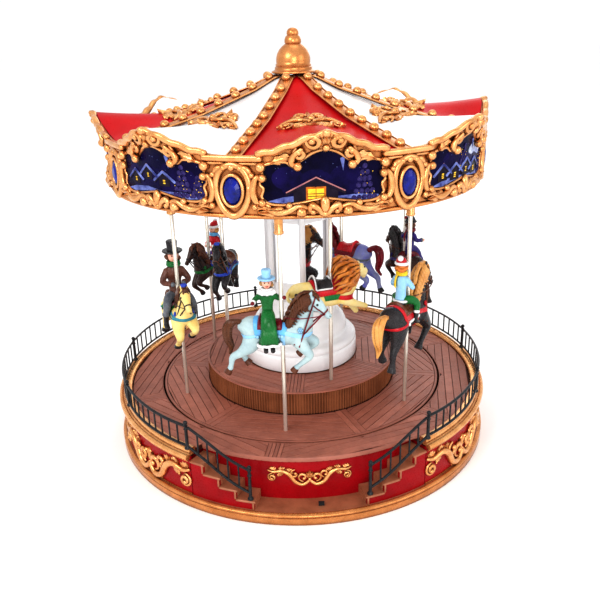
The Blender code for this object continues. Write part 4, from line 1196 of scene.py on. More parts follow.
def build_panel(sector, warp):
    outline = window_outline()
    count = len(outline)
    card = Shape()
    centre = Vector((0, 23.0, 0.0))
    rings = 10
    points = [centre + Vector((0, 0, 0.5))]
    for ring in range(1, rings + 1):
        for p in outline:
            q = centre.lerp(p, ring / rings)
            points.append(Vector((q.x, q.y, 0.5)))
    faces = []
    for i in range(count):
        j = (i + 1) % count
        faces.append((0, 1 + i, 1 + j))
        for ring in range(rings - 1):
            a = 1 + ring * count
            faces.append((a + i, a + count + i, a + count + j, a + j))
    back = len(points)
    last = 1 + (rings - 1) * count
    for p in outline:
        points.append(Vector((p.x, p.y, -0.6)))
    for i in range(count):
        j = (i + 1) % count
        faces.append((last + i, back + i, back + j, last + j))
    faces.append(tuple(back + i for i in range(count)))
    card.add(points, faces)
    name = "panel_%d" % (sector + 1)
    card.put(name + "_night", NIGHT, "carousel", warp=warp, slot="antique_gold")
    build_picture(name, sector, warp)
    gold = Shape()
    gold.tube([(p.x, p.y, 0.7) for p in outline + outline[:2]], 1.0, sides=8)
    # rounded moulding along the crest
    crest = []
    for i in range(49):
        u = -38.0 + 76.0 * i / 48
        top = cornice_top(CREST_AZ + math.degrees(u / CORNICE_R)) - CORNICE_FOOT
        crest.append((u, top + 0.2 + 0.5 * math.cos(u * 0.55), 1.2))
    gold.tube(crest, 2.3, sides=12)
    for side in (-1.0, 1.0):
        # pair of volutes at the peak, with the curls hanging from them
        volute(gold, (side * 6.4, 45.0), 4.6, 90.0 - side * 60.0, -side, 1.75, 2.0)
        volute(gold, (side * 14.0, 38.2), 3.8, 90.0 - side * 30.0, -side, 1.6, 1.8)
        tail = smooth_path([(side * 13.0, 41.0, 2.6), (side * 17.6, 37.0, 2.8), (side * 18.6, 33.0, 2.8),
                            (side * 15.8, 31.0, 2.8)], 6)
        gold.tube(tail, taper(len(tail), 1.3, 2.0, 1.5), sides=10)
        gold.ball((side * 15.4, 31.2, 3.2), 2.7, rings=8, sides=12)
        leaf(gold, (side * 20.0, 37.0), 90.0 - side * 112.0, 12.0, 5.0, 2.0, lobes=2, base_lift=0.8)
        # ribbons, wings and volutes along the foot
        ribbon = smooth_path([(side * 9.0, 6.4, 1.8), (side * 15.0, 8.2, 2.4), (side * 21.0, 5.4, 2.2),
                              (side * 28.0, 4.4, 2.2), (side * 35.0, 7.4, 2.0), (side * 40.0, 6.0, 1.6)], 6)
        gold.tube(ribbon, taper(len(ribbon), 1.2, 2.1, 1.0), sides=10)
        gold.ball((side * 13.6, 4.6, 2.0), 3.2, rings=9, sides=14)
        gold.ball((side * 20.6, 8.4, 1.6), 2.3, rings=8, sides=12)
        gold.ball((side * 40.4, 7.6, 1.6), 2.2, rings=8, sides=12)
        for base_u, base_v, turn, length in ((22.0, 4.2, 12.0, 12.0), (27.0, 4.2, 2.0, 12.0),
                                             (31.0, 6.4, 16.0, 9.0)):
            angle = turn if side > 0 else 180.0 - turn
            leaf(gold, (side * base_u, base_v), angle, length, 5.0, 3.0, lobes=1, base_lift=1.6)
        petal = smooth_path([(side * 1.4, 3.0, 2.4), (side * 4.2, 6.6, 3.0), (side * 7.4, 8.4, 2.8),
                             (side * 8.8, 6.0, 2.4), (side * 6.8, 4.2, 2.2)], 6)
        gold.tube(petal, taper(len(petal), 1.5, 2.1, 1.2), sides=10)
        gold.ball((side * 7.0, 4.6, 2.4), 1.9, rings=8, sides=12)
    gold.ball((0.0, 8.6, 2.2), 3.3, scale=(0.95, 1.6, 0.8), rings=10, sides=14)
    gold.ball((0.0, 3.2, 2.2), 2.2, rings=8, sides=12)
    for turn in (-56, -28, 0, 28, 56):
        leaf(gold, (0.0, 41.6), 90.0 + turn, 8.6, 4.2, 2.6, lobes=1, base_lift=1.6)
    gold.ball((0.0, 49.6, 2.2), 2.6, rings=8, sides=12)
    gold.ball((0.0, 41.4, 3.0), 2.2, rings=8, sides=12)
    gold.put(name + "_frame", GOLD_PAINTED_HIGHLIGHT, "carousel", warp=warp, slot="antique_gold")


def patch_into(shape, outline, lift):
    """A thin printed patch, cut into upright slices so that it follows the curved card."""
    size = len(outline)
    cuts = {point[0] for point in outline}
    left = min(cuts)
    right = max(cuts)
    count = max(1, int((right - left) / 2.0))
    cuts.update(left + (right - left) * i / count for i in range(count + 1))
    cuts = sorted(cuts)
    lows = []
    highs = []
    for u in cuts:
        at = []
        for i in range(size):
            (u0, v0), (u1, v1) = outline[i], outline[(i + 1) % size]
            if min(u0, u1) - 1e-9 <= u <= max(u0, u1) + 1e-9:
                at.extend([v0, v1] if abs(u1 - u0) < 1e-9 else [v0 + (v1 - v0) * (u - u0) / (u1 - u0)])
        lows.append(min(at))
        highs.append(max(at))
    shape.grid(len(cuts) - 1, 1, lambda i, k: (cuts[i], (lows, highs)[k][i], lift),
               lambda i, k: (cuts[i], (lows, highs)[k][i], lift - 0.22))


def line_into(shape, one, two, lift, thick):
    steps = max(2, int(math.dist(one, two) / 1.6))
    shape.tube([(one[0] + (two[0] - one[0]) * i / steps, one[1] + (two[1] - one[1]) * i / steps, lift)
                for i in range(steps + 1)], thick, sides=6, flat=0.5, up=(0, 0, 1))


def build_picture(name, sector, warp):
    """A winter night scene of its own on each panel, all of them generic."""
    dice = random.Random(40 + sector)
    kind = sector % 4
    glow = Shape()
    snow = Shape()
    dark = Shape()
    line = Shape()
    lamp = Shape()
    pine = Shape()
    frame = Shape()
    cloud = Shape()
    for i in range(7):
        u = -21.0 + 7.0 * i
        glow.ball((u + dice.uniform(-2, 2), 20.0 + dice.uniform(-3, 5), 0.52), 8.5,
                  scale=(1.1, 0.8, 0.012), rings=6,
                  sides=16)
    patch_into(snow, [(-34.0, 10.6), (-24.0, 9.6), (-12.0, 11.5), (0, 12.5), (12.0, 11.5), (24.0, 9.6),
                      (34.0, 10.6),
                      (33.0, 12.0), (20.0, 13.4), (4.0, 12.8), (-10.0, 14.6), (-24.0, 13.2)], 0.72)

    def house(u, v, wide, tall, roof, snowy=False):
        patch_into(dark, [(u - wide, v), (u + wide, v), (u + wide, v + tall), (u, v + tall + roof * 0.8),
                          (u - wide, v + tall)], 0.80)
        for sign in (-1.0, 1.0):
            eave = (u + sign * (wide + 4.2), v + tall - 1.6)
            ridge = (u, v + tall + roof)
            if snowy:
                line_into(snow, ridge, eave, 0.95, 1.0)
            line_into(line, (ridge[0], ridge[1] + 0.5), (eave[0], eave[1] + 0.5), 1.0, 0.42)
            line_into(dark, (ridge[0], ridge[1] - 0.7), (eave[0], eave[1] - 0.7), 0.9, 0.8)
        width = 0.42 * wide
        if wide > 10.0:
            width = 4.4
            patch_into(frame, [(u - 5.8, v + 0.6), (u + 5.8, v + 0.6), (u + 5.8, v + 8.6),
                               (u - 5.8, v + 8.6)], 0.86)
        for pane in ((-0.5, 0.5) if wide > 7.0 else (0.0,)):
            x = u + pane * (width + 0.5) - 0.5 * width
            head = v + tall + (0.8 if wide > 10.0 else -0.6)
            patch_into(lamp, [(x, v + 1.6), (x + width, v + 1.6), (x + width, head), (x, head)], 0.96)
            for bar in (0.33, 0.66):
                height = v + 1.6 + (tall - 2.2) * bar
                line_into(dark, (x, height), (x + width, height), 1.0, 0.2)

    if kind == 0:
        house(-5.0, 10.4, 13.0, 6.6, 7.0)
        tree_places = ((24.0, 11.0, 22.0),)
    elif kind == 1:
        for u, v, wide in ((-24.0, 13.0, 4.6), (-11.0, 12.0, 5.2), (3.0, 13.5, 5.0), (17.0, 12.0, 5.4)):
            house(u, v, wide, 5.4, 5.0, True)
        for u, v in ((12.0, 28.0), (19.0, 29.0), (25.0, 26.5)):
            cloud.ball((u, v, 0.56), 6.0, scale=(1.2, 0.7, 0.012), rings=6, sides=16)
        tree_places = ((-2.0, 18.0, 17.0), (30.0, 12.0, 14.0))
    elif kind == 2:
        house(14.0, 11.6, 7.6, 7.0, 7.4, True)
        house(-6.0, 12.0, 6.0, 6.0, 5.6, True)
        tree_places = ((-24.0, 11.0, 22.0), (29.0, 12.0, 14.0))
    else:
        for u, v, wide in ((-22.0, 15.0, 4.0), (-8.0, 19.0, 3.6), (6.0, 16.0, 4.4)):
            house(u, v, wide, 4.6, 4.4, True)
        tree_places = ((20.0, 12.0, 20.0), (31.0, 12.0, 13.0))
    for u, v, tall in tree_places:
        rows = 6
        for row in range(rows):
            t = row / rows
            wide = 0.34 * tall * (1.0 - t) + 0.6
            count = max(1, int(wide / 1.4))
            for k in range(count):
                x = u + (k - (count - 1) / 2.0) * 2.0 * wide / max(1, count)
                ring = [(x + 1.35 * math.cos(0.7 * j), v + t * tall + 1.35 * math.sin(0.7 * j),
                         0.8) for j in range(8)]
                pine.tube(ring, 0.34, sides=6, flat=0.6)
                pine.ball((x, v + t * tall, 0.7), 1.7, scale=(1, 1, 0.06), rings=6, sides=10)
        for _ in range(9):
            x = u - 0.3 * tall + 0.6 * tall * dice.random()
            lamp.ball((x, v + 0.8 * tall * dice.random(), 0.95), 0.34, scale=(1, 1, 0.4), rings=4, sides=6)
    for _ in range(14):
        snow.ball((-32.0 + 64.0 * dice.random(), 24.0 + 10.0 * dice.random(), 0.72), 0.24,
                  scale=(1, 1, 0.4),
                  rings=4, sides=6)
    patch_into(snow, [(8.6, 35.0), (11.6, 35.6), (10.8, 27.4)], 0.8)
    for shape, suffix, material in ((glow, "sky_glow", GLOW), (snow, "snow", SNOW),
                                    (dark, "houses", PICTURE_DARK),
                                    (line, "roof_lines", ROOF_LINE), (lamp, "windows", LAMP),
                                    (pine, "trees", PINE),
                                    (frame, "window_frame", AMBER), (cloud, "clouds", CLOUD)):
        if shape.points:
            shape.put(name + "_" + suffix, material, "carousel", warp=warp, slot="antique_gold")


def build_corner(sector, warp):
    """Stone in a double frame, the scrolls beside it, and the ledge above."""
    gold = Shape()
    middle = 16.8
    for half_u, half_v, thick, lift in ((6.5, 9.3, 1.1, 2.2), (10.2, 15.0, 2.3, 1.0)):
        path = []
        for i in range(38):
            angle = 2.0 * math.pi * i / 36
            broad = 1.0 + 0.16 * math.sin(angle) if half_u > 8.0 else 1.0
            path.append((half_u * broad * math.cos(angle), middle + half_v * math.sin(angle), lift))
        gold.tube(path, thick, sides=10)
    for side in (-1.0, 1.0):
        c_scroll(gold, ((side * 18.0, 24.4), (side * 14.6, 24.6), (side * 12.6, 20.0), (side * 12.4, 15.0),
                        (side * 14.4, 10.4), (side * 17.6, 10.0)), 1.9, 2.6)
        gold.ball((side * 17.2, 30.6, 1.6), 3.1, rings=8, sides=12)
        c_scroll(gold, ((side * 5.0, 30.0), (side * 9.0, 29.6), (side * 11.8, 26.0)), 1.5, 1.9)
    gold.ball((0.0, 30.4, 1.8), 2.3, rings=7, sides=12)
    for height, thick, lift in ((35.4, 2.1, 1.6), (32.4, 1.1, 0.8)):
        gold.tube([(-17.5 + 35.0 * i / 14, height, lift) for i in range(15)], thick, sides=10)
    gold.put("corner_%d_rings" % (sector + 1), GOLD_PAINTED_HIGHLIGHT, "carousel", warp=warp, slot="antique_gold")
    stone = Shape()
    rows = ((5.9, 8.7, 1.0), (4.9, 7.2, 2.8), (2.7, 3.9, 3.7))
    sides = 12
    points = []
    for half_u, half_v, lift in rows:
        for i in range(sides):
            angle = 2.0 * math.pi * (i + 0.5) / sides
            points.append((half_u * math.cos(angle), middle + half_v * math.sin(angle), lift))
    faces = []
    for row in range(2):
        for i in range(sides):
            j = (i + 1) % sides
            a = row * sides
            faces.append((a + i, a + j, a + sides + j))
            faces.append((a + i, a + sides + j, a + sides + i))
    faces.append(tuple(2 * sides + i for i in range(sides)))
    faces.append(tuple(range(sides - 1, -1, -1)))
    stone.add(points, faces)
    stone.put("corner_%d_stone" % (sector + 1), JEWEL, "carousel", warp=warp, smooth=False,
              slot="antique_gold")


def build_finial():
    foot = low("finial").z
    outline = ((0.0, 0.0), (15.2, 0.0), (15.8, 0.5), (15.6, 1.4), (14.0, 2.0), (13.4, 2.8), (13.5, 4.0),
               (12.7, 4.6),
               (12.9, 5.8), (12.2, 6.5), (12.3, 8.2), (12.2, 10.6), (11.4, 13.4), (9.8, 16.2), (7.6, 18.4),
               (6.2, 19.4),
               (5.6, 19.9), (6.0, 20.8), (5.9, 22.6), (5.3, 24.4), (4.5, 25.2), (4.0, 25.6), (4.3, 26.4),
               (4.1, 28.2),
               (3.1, 29.7), (1.6, 30.4), (0.0, FINIAL_TOP - foot))
    shape = Shape()
    shape.turned([(radius, foot + height) for radius, height in outline], sides=72)
    shape.put("finial_detail", GOLD, "carousel", ["finial"])


def build_poles():
    for ring, radius, places in (("outer", OUTER_R, OUTER_AZ), ("inner", INNER_R, INNER_AZ)):
        for number, azimuth in enumerate(places, 1):
            node = "%s_pole_%d" % (ring, number)
            foot = low(node).z
            top = high(node).z
            x, y = polar(radius, azimuth, 0.0).xy
            shape = Shape()
            outline = [(0.0, foot), (1.0, foot + 0.2), (POLE_R, foot + 0.9), (POLE_R, top - 0.4),
                       (1.1, top), (0.0, top)]
            shape.turned(outline, sides=20, at=(x, y))
            shape.put(node + "_tube", CHROME, "%s_ride_%d" % (ring, number), [node], slot="champagne_metal")


def dress_hidden_parts():
    """Node materials for the CAD solids that stay as they are."""
    finishes = {"bottom_plate": PLASTIC, "battery_cover": PLASTIC, "battery_tray": PLASTIC,
                "power_switch": PLASTIC,
                "centre_bearing": PLASTIC, "speaker": PLASTIC, "outer_cam": NYLON, "inner_cam": NYLON,
                "main_gear": NYLON, "drive_pinion": NYLON, "centre_shaft": STEEL, "gear_motor": STEEL,
                "bottom_screw_1": STEEL, "bottom_screw_2": STEEL, "bottom_screw_3": STEEL,
                "circuit_board": BOARD}
    for node, material in finishes.items():
        mesh = frame["nodes"][node].data
        mesh.materials.clear()
        mesh.materials.append(material)


# ---------------------------------------------------------------- figures: shared shapes

def spline(stations, steps=4):
    """Catmull-Rom through stations of plain numbers."""
    result = []
    count = len(stations)
    for i in range(count - 1):
        a, b, c, d = (stations[min(max(i + k, 0), count - 1)] for k in (-1, 0, 1, 2))
        for step in range(steps):
            t = step / steps
            result.append(tuple(0.5 * (2 * q + (r - p) * t + (2 * p - 5 * q + 4 * r - s) * t * t
                                       + (3 * q - p - 3 * r + s) * t ** 3) for p, q, r,
                                       s in zip(a, b, c, d)))
    result.append(stations[-1])
    return result


def swept(shape, stations, sides=16, steps=4, size=1.0, blunt=0.5):
    """A limb through (x, y, z, half width across, half depth) stations with rounded ends."""
    fine = [tuple(value * size for value in s) for s in spline(stations, steps)]
    places = [Vector(s[:3]) for s in fine]
    halves = [(s[3], s[4]) for s in fine]
    first = (places[0] - places[1]).normalized() * halves[0][1] * blunt
    last = (places[-1] - places[-2]).normalized() * halves[-1][1] * blunt
    places = [places[0] + first] + places + [places[-1] + last]
    tips = [(across * 0.6, deep * 0.6) for across, deep in (halves[0], halves[-1])]
    halves = [tips[0]] + halves + [tips[1]]
    points = []
    for i, place in enumerate(places):
        along = (places[min(i + 1, len(places) - 1)] - places[max(i - 1, 0)]).normalized()
        across = Vector((0, 1, 0))
        across = (across - along * across.dot(along)).normalized()
        up = along.cross(across)
        for k in range(sides):
            angle = 2.0 * math.pi * k / sides
            aside = across * math.cos(angle) * halves[i][0]
            points.append(place + aside + up * math.sin(angle) * halves[i][1])
    faces = []
    for i in range(len(places) - 1):
        for k in range(sides):
            a = i * sides + k
            b = i * sides + (k + 1) % sides
            faces.append((a, b, b + sides, a + sides))
    faces.append(tuple(range(sides - 1, -1, -1)))
    faces.append(tuple(range((len(places) - 1) * sides, len(places) * sides)))
    shape.add(points, faces)


def lock(shape, points, thick, size=1.0, sides=7):
    """A strand of hair: thick in the middle and pointed at its tip."""
    path = smooth_path([Vector(p) * size for p in points], 3)
    count = len(path)
    radii = [thick * size * (0.75 + 0.5 * math.sin(math.pi * min(1.0,
            1.3 * i / count))) * (1.0 - 0.75 * (i / count) ** 3)
             for i in range(count)]
    shape.tube(path, radii, sides=sides)


def skin(shape, voxel=0.7, passes=3):
    """One smooth surface over all the overlapping volumes of a shape, still in mm."""
    mesh = bpy.data.meshes.new("skin")
    mesh.from_pydata([tuple(p) for p in shape.points], [], shape.faces)
    thing = bpy.data.objects.new("skin", mesh)
    bpy.context.scene.collection.objects.link(thing)
    remesh = thing.modifiers.new("skin", "REMESH")
    remesh.mode = "VOXEL"
    remesh.voxel_size = voxel
    soften = thing.modifiers.new("soften", "SMOOTH")
    soften.iterations = passes
    soften.factor = 0.5
    graph = bpy.context.evaluated_depsgraph_get()
    result = bpy.data.meshes.new_from_object(thing.evaluated_get(graph))
    bpy.data.objects.remove(thing)
    bpy.data.meshes.remove(mesh)
    return result


def tree_of(mesh):
    return BVHTree.FromPolygons([v.co for v in mesh.vertices], [tuple(p.vertices) for p in mesh.polygons])


def around(count, reach_x, reach_y, at=(0.0, 0.0, 0.0)):
    """A closed flat ring of count steps about a point; its last point is its first."""
    turns = [2.0 * math.pi * j / count for j in range(count + 1)]
    return [(at[0] + reach_x * math.cos(turn), at[1] + reach_y * math.sin(turn), at[2]) for turn in turns]


def over_back(degrees):
    """Direction up from the back, leant to one side by an angle."""
    angle = math.radians(degrees)
    return (0, math.sin(angle), math.cos(angle))


def put_seated(figure, mesh, suffix, material, body, stands_for):
    """Move a skinned mesh from a figure's own frame to its seat, and finish it."""
    mesh.name = figure.name + "_" + suffix
    for vertex in mesh.vertices:
        vertex.co = figure.seat(vertex.co) * MM
    return finish_piece(mesh.name, mesh, material, body, stands_for, True, keep=True)


def inside_patch(i, k):
    """Whether a grid point of a saddle patch is off its rim."""
    return min(i, SEAT_COLUMNS - i, k, SEAT_ROWS - k) > 0


class Figure:
    """An animal and its rider in their own frame: +X ahead, -Y outwards, origin on the pole."""

    def __init__(self, name, body, radius, azimuth, height, size):
        self.name = name
        self.body = body
        self.size = size
        self.centre = polar(radius, azimuth, height)
        self.ahead = polar(1.0, azimuth + 90.0, 0.0)
        self.out = polar(1.0, azimuth, 0.0)
        self.tree = None

    def seat(self, p):
        return self.centre + self.ahead * p.x - self.out * p.y + Vector((0, 0, p.z))

    def put(self, shape, suffix, material, stands_for=(), slot=None, smooth=True):
        return shape.put(self.name + "_" + suffix, material, self.body, stands_for, warp=self.seat,
                         slot=slot,
                         smooth=smooth)

    def put_skin(self, mesh, suffix, material, stands_for=()):
        return put_seated(self, mesh, suffix, material, self.body, stands_for)

    def touch(self, target, direction, lift=0.0):
        """Point on the animal's skin seen from outside, lifted off it."""
        direction = Vector(direction).normalized()
        target = Vector(target) * self.size
        hit, normal = self.tree.ray_cast(target + direction * 50.0, -direction)[:2]
        if hit is None:
            return target
        return hit + (normal + direction).normalized() * lift

    def cloth(self, shape, columns, rows, ray, thick):
        """A patch laid on the skin; ray(i, k) gives target and direction, thick(i, k) its thickness."""
        shape.grid(columns, rows, lambda i, k: self.touch(*ray(i, k), lift=thick(i, k)),
                   lambda i, k: self.touch(*ray(i, k), lift=-0.5))

    def saddle_cloth(self, shape, start, end, drop, thick, wave):
        """Cloth over the back between two lengths, falling to an angle on both sides."""
        turn = (-drop, drop)

        def ray(i, k):
            share = k / SEAT_ROWS
            bulge = 1.0 - wave * abs(2.0 * share - 1.0) ** 2
            middle = 0.5 * (start + end)
            x = middle + (start + (end - start) * i / SEAT_COLUMNS - middle) * bulge
            return (x, 0, 0), over_back(turn[0] + (turn[1] - turn[0]) * share)

        self.cloth(shape, SEAT_COLUMNS, SEAT_ROWS, ray, lambda i,
                   k: thick if inside_patch(i, k) else thick * 0.35)

    def strap(self, shape, rows, ray, thick):
        """A band on the skin that thins out at its two edges."""
        self.cloth(shape, STRAP_COLUMNS, rows, ray, lambda i, k: thick if i in (1, 2) else thick * 0.3)

    def girth(self, shape, x, width):
        """A strap under the belly."""
        rows = 40

        def ray(i, k):
            return (x + width * (i / STRAP_COLUMNS - 0.5), 0, -0.5), over_back(360.0 * k / rows)

        self.strap(shape, rows, ray, 0.5)

    def collar(self, shape, base_x, height, width, sweep=105.0, thick=0.5, fall=2.0, back=False):
        """A strap round the chest, or round the rump when back is set."""
        rows = 30

        def ray(i, k):
            angle = math.radians(-sweep + 2.0 * sweep * k / rows)
            z = height - fall * math.cos(angle) + width * (i / STRAP_COLUMNS - 0.5)
            turn = -1.0 if back else 1.0
            return (base_x, 0, z), (turn * math.cos(angle), math.sin(angle), 0)

        self.strap(shape, rows, ray, thick)

    def ring(self, shape, centre, axis, thick):
        """A thin strap round the head."""
        axis = Vector(axis).normalized()
        side = Vector((0, 1, 0))
        other = axis.cross(side)
        path = []
        for k in range(25):
            angle = math.radians(360.0 * k / 24)
            path.append(self.touch(centre, side * math.cos(angle) + other * math.sin(angle), 0.1))
        shape.tube(path, thick, sides=6)


SEAT_COLUMNS = 14
SEAT_ROWS = 26
STRAP_COLUMNS = 3
HORSE_TRUNK = ((-28.5, 0, 3.5, 3.0, 3.8), (-24, 0, 2.8, 6.0, 7.4), (-17, 0, 1.5, 6.6, 8.4),
               (-6, 0, -0.6, 6.2, 8.0),
               (5, 0, -0.8, 6.1, 8.4), (12, 0, 1.5, 5.6, 8.2), (14.5, 0, 8.0, 4.0, 6.6),
               (16.5, 0, 16.0, 3.0, 5.0),
               (19.0, 0, 22.5, 2.6, 4.0))
HORSE_HEAD = ((19.0, 0, 23.5, 2.6, 3.6), (23.5, 0, 20.8, 2.7, 4.2), (27.5, 0, 16.4, 1.9, 2.9),
              (30.5, 0, 13.2, 1.6, 2.1),
              (32.0, 0, 11.6, 1.8, 2.2))
HORSE_MUSCLES = ((-18.5, 2.6, 1.2, 6.3, (1.1, 0.75, 1.15), 10, 16),
                 (11.0, 2.2, -0.8, 5.6, (0.9, 0.75, 1.25), 10, 16),
                 (23.2, 1.1, 18.6, 2.9, (1.1, 0.8, 1.1), 8, 12))
HORSE_LEGS = (
    ((10, -3.4, -3, 3.2, 4.4), (15.5, -4.2, -10, 2.5, 3.0), (19, -4.3, -14.8, 1.9, 2.2),
     (17, -4.3, -18, 1.5, 1.7),
     (11.5, -4.2, -23, 1.25, 1.3), (9.5, -4.2, -24.8, 1.6, 1.7), (7.6, -4.2, -27.6, 2.2, 2.4)),
    ((10, 3.4, -3, 3.2, 4.4), (17.5, 4.2, -6.5, 2.5, 3.0), (22, 4.3, -8.8, 1.9, 2.2),
     (20.5, 4.3, -12, 1.5, 1.7),
     (14.5, 4.2, -15.5, 1.25, 1.3), (12.5, 4.2, -16.6, 1.6, 1.7), (10.2, 4.2, -18.8, 2.2, 2.4)),
    ((-18, -2.8, -1, 4.4, 6.4), (-22.5, -3.9, -9.5, 3.0, 4.4), (-28.5, -4.1, -14.8, 1.9, 2.6),
     (-34.0, -4.2, -18.2, 1.5, 2.0), (-35.6, -4.2, -24, 1.25, 1.4), (-36.5, -4.2, -27.0, 1.6, 1.7),
     (-38.4, -4.2, -30.4, 2.2, 2.4)),
    ((-18, 2.8, -1, 4.4, 6.4), (-19.5, 3.9, -9.5, 3.0, 4.4), (-24.2, 4.1, -15.2, 1.9, 2.6),
     (-29, 4.2, -18.4, 1.5, 2.0),
     (-28.2, 4.2, -22.0, 1.25, 1.4), (-26.8, 4.2, -24.4, 1.6, 1.7), (-24.4, 4.2, -27.2, 2.2, 2.4)),
)


def blossom(shape, place, petals, reach, size, rings, sides):
    """A ring of small balls and one in its middle; place(u, v) says where an offset lands."""
    for j in range(petals + 1):
        turn = 2 * math.pi * j / petals
        r = 0.0 if j == petals else reach
        shape.ball(place(r * math.cos(turn), r * math.sin(turn)), size, rings=rings, sides=sides)


def horse(name, node, body, radius, azimuth, height, size, coat, look):
    """A galloping horse; look holds the finishes of hair, hooves, straps, saddle and cloth."""
    one = Figure(name, body, radius, azimuth, height, size)
    mass = Shape()
    broad = look.get("broad", 1.12)
    gather = look.get("gather", 1.0)

    def shaped(stations, grow=1.0):
        """The stations widened by the animal's breadth, with the hind legs drawn in."""
        result = []
        for x, y, z, w, d in stations:
            if x < -20.0 and z < -8.0:
                x = -20.0 + (x + 20.0) * gather
            result.append((x, y * broad, z, w * broad * grow, d * grow))
        return result

    swept(mass, shaped(HORSE_TRUNK, 1.03), size=size)
    swept(mass, shaped(HORSE_HEAD, 1.08), size=size)
    for side in (-1.0, 1.0):
        for x, y, z, reach, scale, rings, sides in HORSE_MUSCLES:
            mass.ball(Vector((x, side * y * broad, z)) * size, reach * size, scale=scale, rings=rings,
                      sides=sides)
        swept(mass, ((19.6, side * 1.5, 25.6, 1.0, 1.3), (20.0, side * 2.2, 28.2, 1.0, 1.4),
                     (21.0, side * 2.5, 30.3, 0.35, 0.45)), size=size)
    for leg in HORSE_LEGS:
        swept(mass, shaped(leg[:6], 1.34), sides=12, size=size)
    mesh = skin(mass, 0.75 * size)
    one.tree = tree_of(mesh)
    one.put_skin(mesh, "coat", coat, [node])
    hooves = Shape()
    for leg in HORSE_LEGS:
        (ax, ay, az, aw, ad), (bx, by, bz, bw, bd) = shaped(leg[5:7], 1.12)
        swept(hooves, ((ax, ay, az, aw + 0.1, ad + 0.15), (0.5 * (ax + bx), by, 0.5 * (az + bz),
                                                           0.5 * (aw + bw) + 0.2,
                      0.5 * (ad + bd) + 0.2), (bx, by, bz, bw, bd)), sides=14, steps=2, size=size,
                      blunt=0.12)
    one.put(hooves, "hooves", look["hoof"])
    dice = random.Random(int(abs(azimuth) * 10) + int(radius))
    mane = Shape()
    crest = spline(((21.8, 0, 28.0), (18.5, 0, 27.6), (13.5, 0, 22.5), (10.0, 0, 15.5), (7.0, 0, 9.0)), 6)
    mane.tube([Vector(p) * size for p in crest], 1.9 * size, sides=10)
    for j, (x, y, z) in enumerate(crest[1:]):
        for side in (-1.0, 1.0):
            a = 0.7 * dice.random()
            w = 1.0 if j % 2 else -1.0
            lock(mane, ((x, side * 0.8, z), (x - 3.0 - a, side * 2.6, z - 1.6),
                        (x - 2.6 + w, side * 4.1, z - 5.0),
                        (x - 4.4 - w * 0.6, side * 4.3, z - 8.0 - a),
                        (x - 2.4 + w, side * 4.6, z - 10.6 - a)), 1.25, size)
        if j % 3 == 0:
            lock(mane, ((x, 0, z), (x - 4.0, dice.uniform(-1, 1), z + 0.6),
                        (x - 6.4, dice.uniform(-2, 2), z - 2.6),
                        (x - 5.8, dice.uniform(-2, 2), z - 5.8)), 1.3, size)
    for side in (-0.8, 0.0, 0.8):
        lock(mane, ((20.0, side, 27.6), (23.4, side * 1.6, 26.8), (25.2, side * 2.2, 23.6),
                    (25.6, side * 2.0, 21.6)), 0.8,
             size)
    one.put(mane, "mane", look["hair"])
    tail = Shape()
    run = spline(look.get("tail", ((-27.5, 0, 5.6), (-32.5, 0, 6.6), (-37.4, 0, 2.4), (-38.0, 0, -5.5),
                                   (-35.8, 0, -12.5),
                                   (-37.2, 0, -17.5))), 4)
    for j in range(8):
        turn = 2.0 * math.pi * j / 7
        spread = 0.0 if j == 7 else 1.0
        points = []
        for i, (x, y, z) in enumerate(run):
            t = i / (len(run) - 1)
            swell = spread * (0.4 + 1.9 * math.sin(math.pi * min(1.0, 0.15 + 0.85 * t)))
            angle = turn + 1.6 * t
            points.append((x + swell * math.cos(angle) * 0.9, y + swell * math.sin(angle),
                           z + 0.5 * math.cos(9 * t + j)))
        lock(tail, points[::2] + [points[-1]], 1.35, size)
    one.put(tail, "tail", look.get("tail_hair", look["hair"]))
    eyes = Shape()
    for side in (-1.0, 1.0):
        place = one.touch((24.0, 0, 20.2), (0.15, side, 0.25), -0.25 * size)
        eyes.ball(place, 0.85 * size, rings=7, sides=10)
        eyes.ball(one.touch((31.6, 0, 12.2), (0.6, side, 0.2), -0.2), 0.42 * size, rings=5, sides=8)
    one.put(eyes, "eyes", EYE)
    straps = Shape()
    one.ring(straps, (29.0, 0, 14.8), (0.72, 0, -0.69), 0.5 * size)
    one.ring(straps, (21.8, 0, 22.0), (0.95, 0, -0.3), 0.5 * size)
    for side in (-1.0, 1.0):
        line = [one.touch((21.8 + 7.2 * t, 0, 20.6 - 6.6 * t), (0.1, side, -0.15), 0.15) for t in
                (0.0, 0.25, 0.5, 0.75, 1.0)]
        straps.tube(line, 0.45 * size, sides=6)
        rein = smooth_path([line[-1], line[-1] + Vector((-5, side * 2.6, -0.6)) * size,
                            Vector((12, side * 6.2, 12)) * size, Vector((2.0, side * 3.4, 11.5)) * size], 4)
        straps.tube(rein, 0.35 * size, sides=6)
    one.put(straps, "bridle", look["bridle"])
    harness = Shape()
    one.collar(harness, 3.0, 1.6, 3.0)
    one.collar(harness, -14.0, 1.0, 2.0, sweep=95.0, fall=3.0, back=True)
    one.girth(harness, 1.0, 3.2)
    one.put(harness, "harness", look["strap"])
    cloth = Shape()
    one.saddle_cloth(cloth, -19.0, 4.5, 96.0, 0.8, 0.18)
    one.put(cloth, "saddle_cloth", look["cloth"])
    fringe = Shape()
    for side in (-1.0, 1.0):
        for j in range(9):
            x = -17.0 + 2.4 * j
            place = one.touch((x * 0.84 - 1.2, 0, 0), over_back(side * 94.0), 0.7)
            fringe.ball(place, 1.15 * size, scale=(1, 0.6, 1), rings=6, sides=10)
    one.put(fringe, "cloth_hem", look["hem"])
    saddle = Shape()

    def seat_rise(i, k):
        end = abs(2.0 * i / SEAT_COLUMNS - 1.0)
        swell = 1.5 + 2.6 * end ** 3 * (1.0 - abs(2.0 * k / SEAT_ROWS - 1.0))
        return swell if inside_patch(i, k) else 0.6

